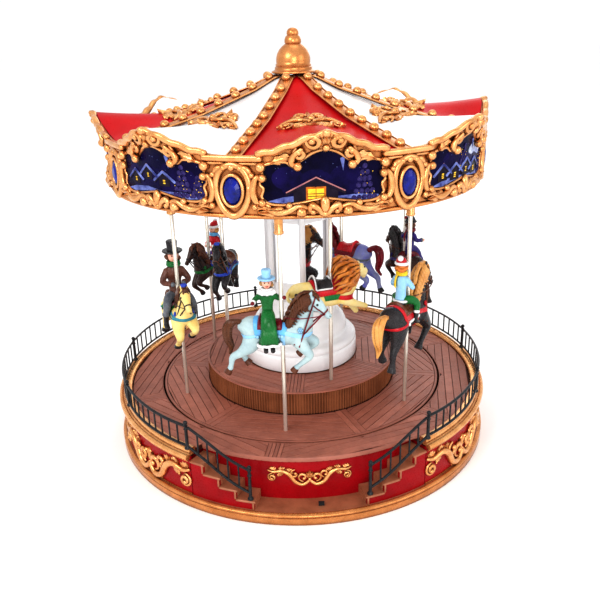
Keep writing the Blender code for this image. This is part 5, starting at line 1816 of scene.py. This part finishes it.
    def seat_ray(i, k):
        return (-16.0 + 17.0 * i / SEAT_COLUMNS, 0, 0), over_back(-62.0 + 124.0 * k / SEAT_ROWS)

    one.cloth(saddle, SEAT_COLUMNS, SEAT_ROWS, seat_ray, seat_rise)
    one.put(saddle, "saddle", look["saddle"])
    extra = Shape()
    if look.get("plume"):
        blossom(extra, lambda u, v: Vector((20.5 + u, v, 29.6)) * size, 6, 1.5, 1.35 * size, 6, 10)
    for side in (-1.0, 1.0):
        blossom(extra, lambda u, v: one.touch((11.5 + u, 0, 3.0 + v), (0.25, side, 0.1), 0.4), 6, 1.2,
                0.75 * size, 5, 8)
    one.put(extra, "rosettes", look.get("plume_paint", look["strap"]))
    return one


# ---------------------------------------------------------------- lion

LION_TRUNK = ((-31, 0, 4.2, 3.0, 4.2), (-27, 0, 4.0, 5.8, 6.8), (-18, 0, 1.4, 6.2, 9.2),
              (-4, 0, -1.2, 6.1, 9.2),
              (6, 0, -0.6, 6.4, 9.6), (12, 0, 5.0, 6.6, 9.6), (17, 0, 12.5, 5.6, 7.6),
              (22, 0, 13.6, 4.5, 5.8),
              (26.5, 0, 12.2, 3.1, 3.8), (28.2, 0, 11.4, 2.6, 2.8))
LION_LEGS = (
    ((8, -3.6, -5, 3.6, 4.6), (16, -4.6, -9.5, 2.6, 3.2), (22.0, -4.8, -11.6, 2.0, 2.2),
     (26.5, -4.8, -13.6, 2.5, 2.0)),
    ((8, 3.6, -5, 3.6, 4.6), (17, 4.6, -12.0, 2.6, 3.0), (20.5, 4.8, -17.0, 2.0, 2.2),
     (23.5, 4.8, -20.5, 2.5, 2.2)),
    ((-20, -3.0, -1, 4.4, 6.4), (-25, -4.2, -10, 3.2, 4.0), (-30, -4.6, -15, 2.2, 2.4),
     (-31.5, -4.8, -21.5, 1.9, 2.0),
     (-28.5, -4.8, -24.5, 2.4, 2.0)),
    ((-20, 3.0, -1, 4.4, 6.4), (-21, 4.2, -10, 3.2, 4.0), (-25, 4.6, -16, 2.2, 2.4),
     (-24.5, 4.8, -22.5, 1.9, 2.0),
     (-21, 4.8, -25.0, 2.4, 2.0)),
)


def lion(node, body, radius, azimuth, height):
    one = Figure("lion", body, radius, azimuth, height, 1.0)
    mass = Shape()
    swept(mass, LION_TRUNK)
    for leg in LION_LEGS:
        swept(mass, leg, sides=12)
    for side in (-1.0, 1.0):
        mass.ball((-20.0, side * 2.6, 0.6), 6.4, scale=(1.1, 0.75, 1.2), rings=10, sides=16)
        mass.ball((26.4, side * 1.3, 10.6), 2.1, rings=8, sides=12)
        mass.ball((23.5, side * 3.0, 18.4), 1.6, rings=6, sides=10)
    mass.ball((26.8, 0, 8.6), 1.9, rings=8, sides=12)
    mesh = skin(mass, 0.8)
    one.tree = tree_of(mesh)
    one.put_skin(mesh, "coat", LION_COAT, [node])
    mane = Shape()
    dice = random.Random(3)
    mane.ball((12.5, 0, 11.0), 8.3, scale=(0.95, 0.92, 1.2), rings=14, sides=20)
    for layer, (front_x, front_r) in enumerate(((21.0, 5.4), (17.0, 7.4), (12.5, 8.4))):
        for j in range(20):
            turn = 2.0 * math.pi * (j + 0.5 * (layer % 2)) / 20
            s, c = math.sin(turn), math.cos(turn)
            w = 1.3 if (j + layer) % 2 else -1.3
            a = dice.random()
            low_c = c * 1.22
            lock(mane, ((front_x, front_r * s * 0.92, 13.4 + front_r * low_c),
                        (front_x - 4.0, (front_r + 2.2) * s, 12.4 + (front_r + 2.4) * low_c),
                        (front_x - 7.6 + w, (front_r + 1.9 + w) * s, 10.6 + (front_r + 2.2) * low_c),
                        (front_x - 11.0, (front_r + 0.4) * s, 8.6 + (front_r + 0.8 + a) * low_c),
                        (front_x - 13.6 + a, (front_r - 1.2) * s, 6.6 + (front_r - 0.6) * low_c)), 1.25)
    one.put(mane, "mane", LION_MANE)
    face = Shape()
    face.ball((29.6, 0, 12.6), 1.15, scale=(0.8, 1.2, 0.8), rings=7, sides=10)
    for side in (-1.0, 1.0):
        face.ball(one.touch((24.5, 0, 15.6), (0.75, side * 0.75, 0.1), -0.2), 0.75, rings=6, sides=10)
    face.tube([one.touch((25, 0, 9.6), (1, s, 0), 0.05) for s in (-0.7, -0.35, 0.0, 0.35, 0.7)], 0.28,
              sides=6)
    one.put(face, "face", EYE)
    tail = Shape()
    run = ((-30, 0, 6), (-34, -1.5, 4.5), (-34.5, -5.0, 0.5), (-31.5, -7.6, 0.8), (-28.5, -8.0, 3.0))
    tail.tube(smooth_path(run, 5), 1.2, sides=10)
    one.put(tail, "tail", LION_COAT)
    tuft = Shape()
    for j in range(9):
        tuft.ball((-28.0 + dice.uniform(-4.5, 4.5), -8.2 + dice.uniform(-0.7, 0.7),
                   3.6 + dice.uniform(-1.6, 1.6)), 1.5,
                  rings=6, sides=10)
    one.put(tuft, "tail_tuft", BLACK_RESIN)
    pad = Shape()
    one.saddle_cloth(pad, -9.0, 6.0, 125.0, 0.9, 0.3)
    one.put(pad, "saddle_pad", GREEN_CLOTH)
    red = Shape()

    def red_ray(i, k):
        reach = 1.0 - 0.45 * abs(2.0 * k / SEAT_ROWS - 1.0) ** 2
        x = -4.0 + (-13.0 + 27.0 * i / SEAT_COLUMNS + 0.5) * reach
        return (x, 0, 0), over_back(-88.0 + 176.0 * k / SEAT_ROWS)

    one.cloth(red, SEAT_COLUMNS, SEAT_ROWS, red_ray, lambda i, k: 1.7 if inside_patch(i, k) else 1.0)
    one.collar(red, 3.0, -2.4, 3.4, sweep=100.0, thick=0.8)
    one.put(red, "saddle", RED_RESIN)
    seat = Shape()

    def seat_ray(i, k):
        return (-14.0 + 12.0 * i / SEAT_COLUMNS, 0, 0), over_back(-48.0 + 96.0 * k / SEAT_ROWS)

    def seat_rise(i, k):
        return 2.2 + (2.6 * abs(2.0 * i / SEAT_COLUMNS - 1.0) ** 3 if 0 < k < SEAT_ROWS else 0.0)

    one.cloth(seat, SEAT_COLUMNS, SEAT_ROWS, seat_ray, seat_rise)
    one.put(seat, "saddle_seat", BLACK_RESIN)
    rim = Shape()
    for end in (-14.2, -1.8):
        rim.tube([one.touch((end, 0, 0), over_back(turn), 4.6 - abs(turn) * 0.05) for turn in range(-48,
                49, 8)], 0.8,
                 sides=8)
    for side in (-1.0, 1.0):
        rim.tube([one.touch((-14.0 + 12.4 * t / 6, 0, 0), (0, side * 0.76, 0.66), 2.3) for t in range(7)],
                 0.7, sides=8)
    one.put(rim, "saddle_rim", PALE_RESIN)


# ---------------------------------------------------------------- riders

def turn_about(p, degrees):
    angle = math.radians(degrees)
    return Vector((p.x * math.cos(angle) - p.y * math.sin(angle),
                   p.x * math.sin(angle) + p.y * math.cos(angle), p.z))


RIDER_TALL = 35.5


class Rider:
    """A seated doll: pieces are modelled facing +X above the seat, then turned and set down."""

    def __init__(self, mount, number, seat_z, top_z, aside, look):
        self.mount = mount
        self.name = "rider_%d" % number
        self.origin = Vector((-9.5 * mount.size, 0.0, seat_z))
        self.scale = (top_z - seat_z) / RIDER_TALL
        self.face = -78.0 if aside else 0.0
        self.aside = aside
        self.look = look

    def seat(self, p):
        return self.mount.seat(turn_about(p, self.face) * self.scale + self.origin)

    def put(self, shape, suffix, material, stands_for=()):
        return shape.put(self.name + "_" + suffix, material, self.mount.body, stands_for, warp=self.seat)

    def put_skin(self, shape, suffix, material, stands_for=()):
        return put_seated(self, skin(shape, 0.6, 2), suffix, material, self.mount.body, stands_for)

    def build(self):
        look = self.look
        coat = Shape()
        swept(coat, ((0, 0, -0.5, 4.6, 4.4), (0, 0, 5, 3.9, 3.5), (0, 0, 10, 4.1, 3.2),
                     (0, 0, 15.5, 5.3, 3.6),
                     (0.2, 0, 18.8, 4.0, 2.9), (0.4, 0, 21.6, 1.9, 1.9)))
        hands = Shape()
        cuffs = Shape()
        for side in (-1.0, 1.0):
            if self.aside:
                wrist = (3.6, side * 9.8, 13.0) if side < 0 else (1.8, side * 10.6, 14.6)
                elbow = (-1.0, side * 8.4, 13.4)
            else:
                wrist = (7.2, side * 4.4, 10.4)
                elbow = (2.4, side * 8.0, 10.8)
            swept(coat, ((0, side * 4.2, 17.0, 2.2, 2.3), (elbow[0], elbow[1], elbow[2], 1.9, 1.9),
                         (*wrist, 1.6, 1.6)), sides=12)
            reach = (Vector(wrist) - Vector(elbow)).normalized()
            hands.ball(Vector(wrist) + reach * 1.8, 1.45, rings=7, sides=10)
            cuffs.tube([Vector(wrist) - reach * 0.3, Vector(wrist) + reach * 0.5], 2.0, sides=12)
        self.put_skin(coat, "coat", look["coat"], [self.name])
        self.put(hands, "hands", look.get("gloves", FLESH))
        self.put(cuffs, "cuffs", look.get("fur", look["coat"]))
        if self.aside:
            self.skirt(look)
        else:
            self.legs(look)
        self.head(look)

    def skirt(self, look):
        skirt = Shape()
        swept(skirt, ((-1.0, 0, 4.5, 3.9, 3.7), (3.4, 0, 2.2, 5.0, 4.4), (7.6, 0, -1.8, 5.4, 3.8),
                      (9.2, 0, -8.0, 5.8, 3.2),
                      (9.8, 0, -16.0, 7.4, 3.2)), sides=20, blunt=0.05)
        for fold in range(5):
            y = -5.0 + 2.5 * fold
            skirt.tube(smooth_path([(6.4, y * 0.7, -0.6), (11.4, y * 0.85, -7.0), (12.6, y, -16.2)], 5),
                       1.15, sides=8)
        self.put_skin(skirt, "skirt", look["coat"])
        hem = Shape()
        ring = []
        for j in range(27):
            angle = 2.0 * math.pi * j / 26
            ring.append((9.9 + 3.7 * math.cos(angle), 7.9 * math.sin(angle),
                         -16.4 + 0.25 * math.sin(7 * angle)))
        hem.tube(ring, 1.15, sides=8)
        self.put(hem, "skirt_hem", look["fur"])
        boots = Shape()
        for y in (-2.6, 2.2):
            swept(boots, ((10.0, y, -15.5, 1.7, 1.7), (10.0, y, -19.0, 1.6, 1.7),
                          (12.8, y, -20.8, 1.6, 1.3)), sides=12)
        self.put(boots, "boots", BLACK_RESIN)

    def legs(self, look):
        trousers = Shape()
        boots = Shape()
        tops = Shape()
        width = 1.0 + 0.6 * (self.mount.size - 1.0)
        for side in (-1.0, 1.0):
            knee = (8.4, side * 8.4 * width, -3.6)
            swept(trousers, ((0.5, side * 2.2, 0.6, 3.4, 3.4), (4.6, side * 6.2 * width, 0.2, 3.0, 3.2),
                             (*knee, 2.5, 2.7), (6.6, side * 9.0 * width, -9.0, 2.0, 2.2)), sides=14)
            swept(boots, ((6.8, side * 9.0 * width, -8.6, 2.1, 2.2),
                          (5.6, side * 9.2 * width, -13.6, 1.6, 1.7),
                          (6.0, side * 9.3 * width, -16.2, 1.7, 1.7),
                          (9.2, side * 9.4 * width, -17.4, 1.6, 1.2)), sides=14)
            tops.tube([(6.8, side * 9.0 * width, -8.2), (6.6, side * 9.0 * width, -9.4)], 2.5, sides=14)
        self.put_skin(trousers, "trousers", look["trousers"])
        self.put(boots, "boots", BLACK_RESIN)
        self.put(tops, "boot_tops", look.get("fur", look["trousers"]))
        hem = Shape()
        hem.tube(around(24, 4.4, 4.9, (0, 0, 0.2)), 1.1, sides=8)
        self.put(hem, "coat_hem", look.get("fur", look["coat"]))

    def head(self, look):
        face = Shape()
        face.ball((0.8, 0, 26.2), 4.0, scale=(0.95, 0.88, 1.06), rings=14, sides=20)
        face.ball((1.6, 0, 23.4), 2.3, scale=(1.0, 1.0, 0.8), rings=8, sides=12)
        swept(face, ((0.4, 0, 19.5, 1.6, 1.6), (0.6, 0, 23.0, 1.6, 1.6)))
        face.ball((4.7, 0, 25.6), 0.7, rings=6, sides=10)
        for side in (-1.0, 1.0):
            face.ball((3.5, side * 1.6, 24.9), 1.0, rings=6, sides=10)
        self.put_skin(face, "face", FLESH)
        eyes = Shape()
        for side in (-1.0, 1.0):
            eyes.ball((4.25, side * 1.4, 26.7), 0.42, rings=6, sides=8)
            eyes.tube([(4.2, side * 0.8, 27.8), (4.25, side * 1.4, 28.0), (3.9, side * 2.1, 27.8)], 0.16,
                      sides=6)
        self.put(eyes, "eyes", EYE)
        lips = Shape()
        lips.tube([(4.15, -0.85, 24.1), (4.5, 0, 23.9), (4.15, 0.85, 24.1)], 0.26, sides=6)
        self.put(lips, "lips", LIPS)
        hair = Shape()
        hair.ball((-0.4, 0, 26.8), 4.1, scale=(0.9, 1.0, 1.0), rings=10, sides=16)
        for j in range(11):
            angle = math.radians(75.0 + 21.0 * j)
            hair.ball((-0.2 + 3.5 * math.cos(angle), 3.6 * math.sin(angle),
                       24.6 + 0.8 * math.sin(3 * angle)), 1.5,
                      rings=7, sides=10)
        self.put(hair, "hair", look["hair"])
        neck = Shape()
        ring = around(20, 2.9, 3.2, (0.4, 0, 20.6))
        if look["neck"] == "fur":
            for j in range(18):
                angle = 2 * math.pi * j / 18
                neck.ball((0.2 + 4.1 * math.cos(angle), 5.0 * math.sin(angle), 19.2 + 0.4 * (j % 2)), 1.9,
                          rings=7, sides=10)
                neck.ball((0.2 + 2.8 * math.cos(angle), 3.4 * math.sin(angle), 20.8), 1.6, rings=6, sides=8)
        else:
            neck.tube(ring, 1.35, sides=10)
            neck.tube([Vector(p) + Vector((0, 0, 1.3)) for p in ring], 1.1, sides=10)
            tails = smooth_path([(-2.6, 1.6, 20.6), (-4.6, 2.0, 18.0), (-4.9, 2.4, 13.6),
                                 (-4.6, 2.2, 11.4)], 5)
            neck.tube(tails, 1.4, sides=10, flat=0.5)
        self.put(neck, "collar", look["neck_paint"])
        hat = Shape()
        if look["hat"] == "tall":
            hat.turned([(0.0, 28.6), (5.6, 28.2), (6.3, 28.9), (6.0, 29.5), (3.4, 29.5), (3.1, 31.2),
                        (3.4, 34.9),
                        (2.9, 35.5), (0.0, 35.5)], sides=28, at=(0.2, 0))
            self.put(hat, "hat", look["hat_paint"])
        elif look["hat"] == "bobble":
            hat.ball((-0.6, 0, 29.6), 4.0, scale=(0.95, 1.0, 0.85), rings=10, sides=16)
            hat.ball((-2.2, 0, 31.2), 2.6, rings=8, sides=12)
            self.put(hat, "hat", look["hat_paint"])
            trim = Shape()
            ring = [(-0.1 + 3.9 * math.cos(2 * math.pi * j / 20), 4.0 * math.sin(2 * math.pi * j / 20),
                     28.4 - 0.3 * math.cos(2 * math.pi * j / 20)) for j in range(21)]
            trim.tube(ring, 1.25, sides=10)
            trim.ball((-3.8, -1.0, 33.0), 2.1, rings=9, sides=14)
            self.put(trim, "hat_trim", PALE_RESIN)
        else:
            hat.turned([(0.0, 28.6), (5.0, 27.8), (5.4, 28.6), (4.4, 29.4), (3.9, 30.8), (2.8, 32.8),
                        (0.0, 33.6)],
                       sides=28, at=(-0.2, 0))
            self.put(hat, "hat", look["hat_paint"])
            plume = Shape()
            for j in range(6):
                plume.ball((-2.4 - 0.5 * j, 2.0, 31.0 + 0.9 * j - 0.14 * j * j), 1.3 - 0.08 * j, rings=7,
                           sides=10)
            self.put(plume, "hat_plume", look["neck_paint"])


def resin(name, light, dark, rough=0.26):
    """Hand-painted cast resin: glossy, with painted shade darkening the folds."""
    # painted shade: a quarter of the dark tone, laid into the folds by ambient occlusion
    painted_shade = tuple(value * 0.25 for value in dark)
    return paint(name, light, dark, rough=rough, coat=0.08, sheen=0.25, scale=110.0, grain=1200.0,
                 relief=0.05, painted_shade=painted_shade,
                 painted_shade_reach=1.3)


EYE = paint("painted_black", (0.008, 0.008, 0.010), (0.016, 0.014, 0.016), rough=0.12, coat=0.6,
            relief=0.01)
LIPS = paint("painted_lips", (0.55, 0.06, 0.06), (0.45, 0.04, 0.04), rough=0.3)
FLESH = resin("painted_skin", (0.84, 0.50, 0.36), (0.80, 0.36, 0.27), rough=0.32)
BLACK_RESIN = resin("black_resin", (0.018, 0.016, 0.018), (0.035, 0.030, 0.032))
PALE_RESIN = resin("pale_resin", (0.84, 0.83, 0.82), (0.74, 0.73, 0.74))
RED_RESIN = resin("red_resin", (0.62, 0.012, 0.022), (0.42, 0.008, 0.016))
GREEN_CLOTH = resin("green_cloth", (0.02, 0.22, 0.06), (0.012, 0.13, 0.035))
LION_COAT = resin("lion_coat", (0.86, 0.66, 0.22), (0.84, 0.72, 0.38))
LION_MANE = resin("lion_mane", (0.66, 0.25, 0.045), (0.42, 0.12, 0.018))
BROWN_HAIR = resin("dark_brown_hair", (0.13, 0.045, 0.018), (0.085, 0.025, 0.010))
TAN_HAIR = resin("tan_hair", (0.72, 0.38, 0.12), (0.60, 0.27, 0.07))
ORANGE_HAIR = resin("orange_hair", (0.75, 0.26, 0.05), (0.60, 0.17, 0.03))
PALE_BLUE = resin("pale_blue_coat", (0.47, 0.59, 0.59), (0.36, 0.47, 0.50))
DARK_BROWN = resin("dark_brown_coat", (0.055, 0.025, 0.018), (0.028, 0.014, 0.012))
GREY_COAT = resin("grey_coat", (0.42, 0.40, 0.38), (0.28, 0.27, 0.27))
YELLOW_COAT = resin("pale_yellow_coat", (0.86, 0.70, 0.30), (0.84, 0.60, 0.20))
VIOLET_COAT = resin("violet_coat", (0.16, 0.17, 0.56), (0.24, 0.26, 0.42))
SKY_BLUE = resin("sky_blue", (0.16, 0.48, 0.80), (0.10, 0.34, 0.66))
LIGHT_BLUE = resin("light_blue", (0.36, 0.62, 0.82), (0.26, 0.50, 0.74))
ROYAL_BLUE = resin("royal_blue", (0.04, 0.09, 0.55), (0.02, 0.05, 0.36))
MAROON = resin("maroon", (0.20, 0.006, 0.016), (0.12, 0.004, 0.010))
DRESS_GREEN = resin("dress_green_paint", (0.01, 0.17, 0.035), (0.006, 0.10, 0.02))
NAVY = resin("navy_purple", (0.035, 0.018, 0.19), (0.02, 0.010, 0.09))
COAT_BROWN = resin("brown_coat_paint", (0.15, 0.055, 0.035), (0.09, 0.032, 0.022))
COAT_TAN = resin("tan_coat_paint", (0.45, 0.26, 0.10), (0.34, 0.18, 0.07))
GREY_CLOTH = resin("grey_cloth", (0.16, 0.17, 0.19), (0.09, 0.10, 0.12))
TEAL = resin("teal_strap", (0.05, 0.26, 0.32), (0.03, 0.18, 0.24))
YELLOW_WOOL = resin("yellow_wool", (0.88, 0.66, 0.04), (0.80, 0.52, 0.02))
BROWN_RESIN = resin("brown_resin", (0.17, 0.06, 0.03), (0.11, 0.035, 0.018))


def look_of(hair, hoof, bridle, strap, cloth, hem, saddle, **more):
    return dict(hair=hair, hoof=hoof, bridle=bridle, strap=strap, cloth=cloth, hem=hem, saddle=saddle,
                **more)


def build_figures():
    mounts = (
        (1, 119.5, 1.00, PALE_BLUE, look_of(BROWN_HAIR, BROWN_RESIN, MAROON, LIGHT_BLUE, SKY_BLUE,
                                            LIGHT_BLUE, MAROON)),
        (2, 115.0, 1.12, BLACK_RESIN, look_of(TAN_HAIR, BLACK_RESIN, BROWN_RESIN, RED_RESIN, RED_RESIN,
                                              PALE_RESIN,
                                              BROWN_RESIN, gather=0.45, broad=1.2)),
        (3, 122.5, 0.90, DARK_BROWN, look_of(BLACK_RESIN, BLACK_RESIN, BROWN_RESIN, NAVY, MAROON, TAN_HAIR,
                                             MAROON)),
        (4, 116.0, 0.90, GREY_COAT, look_of(PALE_RESIN, BLACK_RESIN, MAROON, RED_RESIN, DRESS_GREEN,
                                            YELLOW_WOOL,
                                            MAROON)),
        (5, 114.5, 0.87, DARK_BROWN, look_of(BROWN_RESIN, BLACK_RESIN, BLACK_RESIN, DRESS_GREEN,
                                             ROYAL_BLUE, SKY_BLUE,
                                             BROWN_RESIN, tail_hair=TAN_HAIR)),
        (6, 112.0, 0.92, YELLOW_COAT, look_of(BROWN_HAIR, BLACK_RESIN, BLACK_RESIN, TEAL, DRESS_GREEN,
                                              PALE_RESIN, MAROON,
                                              plume=True, plume_paint=ROYAL_BLUE, broad=1.4)),
    )
    riders = {
        1: (128.5, 164.0, True, dict(coat=DRESS_GREEN, fur=PALE_RESIN, hair=COAT_TAN, neck="fur",
                                     neck_paint=PALE_RESIN,
                                     hat="tall", hat_paint=LIGHT_BLUE, gloves=MAROON)),
        2: (127.0, 163.0, False, dict(coat=LIGHT_BLUE, fur=PALE_RESIN, trousers=DRESS_GREEN,
                                      hair=ORANGE_HAIR,
                                      neck="scarf", neck_paint=YELLOW_WOOL, hat="bobble",
                                      hat_paint=RED_RESIN)),
        3: (131.0, 166.0, True, dict(coat=NAVY, fur=GREY_CLOTH, hair=BROWN_HAIR, neck="scarf",
                                     neck_paint=MAROON,
                                     hat="round", hat_paint=BLACK_RESIN)),
        4: (124.5, 158.0, False, dict(coat=COAT_TAN, trousers=GREY_CLOTH, hair=BROWN_HAIR, neck="scarf",
                                      neck_paint=RED_RESIN, hat="round", hat_paint=BROWN_RESIN)),
        5: (122.5, 156.2, False, dict(coat=RED_RESIN, fur=PALE_RESIN, trousers=ROYAL_BLUE, hair=TAN_HAIR,
                                      neck="scarf",
                                      neck_paint=SKY_BLUE, hat="bobble", hat_paint=RED_RESIN)),
        6: (121.0, 166.0, False, dict(coat=COAT_BROWN, trousers=GREY_CLOTH, hair=BROWN_HAIR, neck="scarf",
                                      neck_paint=DRESS_GREEN, hat="tall", hat_paint=BLACK_RESIN,
                                      gloves=GREY_CLOTH)),
    }
    for number, axis_z, size, coat, look in mounts:
        mount = horse("horse_%d" % number, "outer_horse_%d" % number, "outer_ride_%d" % number, OUTER_R,
                      OUTER_AZ[number - 1], axis_z, size, coat, look)
        seat, top, aside, dress = riders[number]
        Rider(mount, number, seat - axis_z + 1.2, top - axis_z, aside, dress).build()
    lion("lion", "inner_ride_1", INNER_R, INNER_AZ[0], 131.5)
    horse("inner_mount_2", "inner_horse_2", "inner_ride_2", INNER_R, INNER_AZ[1], 128.5, 1.0, VIOLET_COAT,
          look_of(MAROON, BLACK_RESIN, MAROON, GREY_CLOTH, MAROON, RED_RESIN, RED_RESIN, tail_hair=MAROON,
                  tail=((-27.5, 0, 5.6), (-33.0, 0, 9.5), (-38.0, 0, 7.0), (-38.6, 0, -1.5),
                        (-36.8, 0, -9.0),
                        (-40.5, 0, -13.0))))
    horse("inner_mount_3", "inner_horse_3", "inner_ride_3", INNER_R, INNER_AZ[2], 130.0, 0.87, BLACK_RESIN,
          look_of(BLACK_RESIN, BLACK_RESIN, BROWN_RESIN, ROYAL_BLUE, NAVY, SKY_BLUE, BROWN_RESIN,
                  plume=True, plume_paint=ROYAL_BLUE))


# ---------------------------------------------------------------- set

FLOOR_HALF = 9.0


def build_set():
    """White floor and room, soft lights and the camera; these sizes are in metres."""
    points = [(x, y, 0.0) for y in (-FLOOR_HALF, FLOOR_HALF) for x in (-FLOOR_HALF, FLOOR_HALF)]
    floor = bpy.data.meshes.new("floor")
    floor.from_pydata(points, [], [(0, 1, 3, 2)])
    for face in floor.polygons:
        face.use_smooth = True
    thing = bpy.data.objects.new("floor", floor)
    bpy.context.scene.collection.objects.link(thing)
    floor.materials.append(paint("floor_white", (0.98, 0.98, 0.98), (0.97, 0.97, 0.97), rough=0.6,
                                 relief=0.0))
    world = bpy.data.worlds.new("studio")
    world.use_nodes = True
    world.node_tree.nodes["Background"].inputs["Color"].default_value = (1.0, 1.0, 1.0, 1.0)
    world.node_tree.nodes["Background"].inputs["Strength"].default_value = 1.04
    bpy.context.scene.world = world
    lights = (("key", (-0.75, -0.95, 0.95), 0.6, 7.0), ("fill", (1.1, -0.7, 0.55), 0.7, 3.0),
              ("front", (0.15, -1.5, 0.50), 0.6, 7.0), ("top", (0.1, 0.25, 1.5), 0.7, 2.0),
              ("back", (0.3, 1.2, 0.7), 0.7, 2.0))
    for name, place, size, power in lights:
        data = bpy.data.lights.new(name, "AREA")
        data.size = size
        data.energy = power
        lamp = bpy.data.objects.new(name, data)
        lamp.location = place
        lamp.rotation_euler = (Vector((0, 0, 0.14)) - Vector(place)).to_track_quat("-Z", "Y").to_euler()
        bpy.context.scene.collection.objects.link(lamp)
    data = bpy.data.cameras.new("camera")
    data.lens = 42.0
    data.sensor_width = 36.0
    camera = bpy.data.objects.new("camera", data)
    bpy.context.scene.collection.objects.link(camera)
    tilt, pan, roll = 0.373, 0.0012, -0.0246
    ahead = Vector((math.sin(pan) * math.cos(tilt), math.cos(pan) * math.cos(tilt), -math.sin(tilt)))
    right = ahead.cross(Vector((0, 0, 1))).normalized()
    up = right.cross(ahead)
    rolled = right * math.cos(roll) + up * math.sin(roll)
    rolled_up = up * math.cos(roll) - right * math.sin(roll)
    matrix = Matrix((rolled, rolled_up, -ahead)).transposed().to_4x4()
    matrix.translation = Vector((0.0, -0.5317, 0.3118))
    camera.matrix_world = matrix
    bpy.context.scene.camera = camera
    bpy.context.scene.view_settings.view_transform = "Standard"
    bpy.context.scene.view_settings.gamma = 0.82


build_plinth()
build_wall()
build_stairs("stairs_right", 1.0)
build_stairs("stairs_left", -1.0)
build_rim()
build_decks()
build_fence()
build_stage_scrolls()
build_column()
build_ceiling()
build_roof()
build_ribs()
build_roof_scrolls()
build_cornice()
build_finial()
build_poles()
dress_hidden_parts()
build_figures()
build_set()
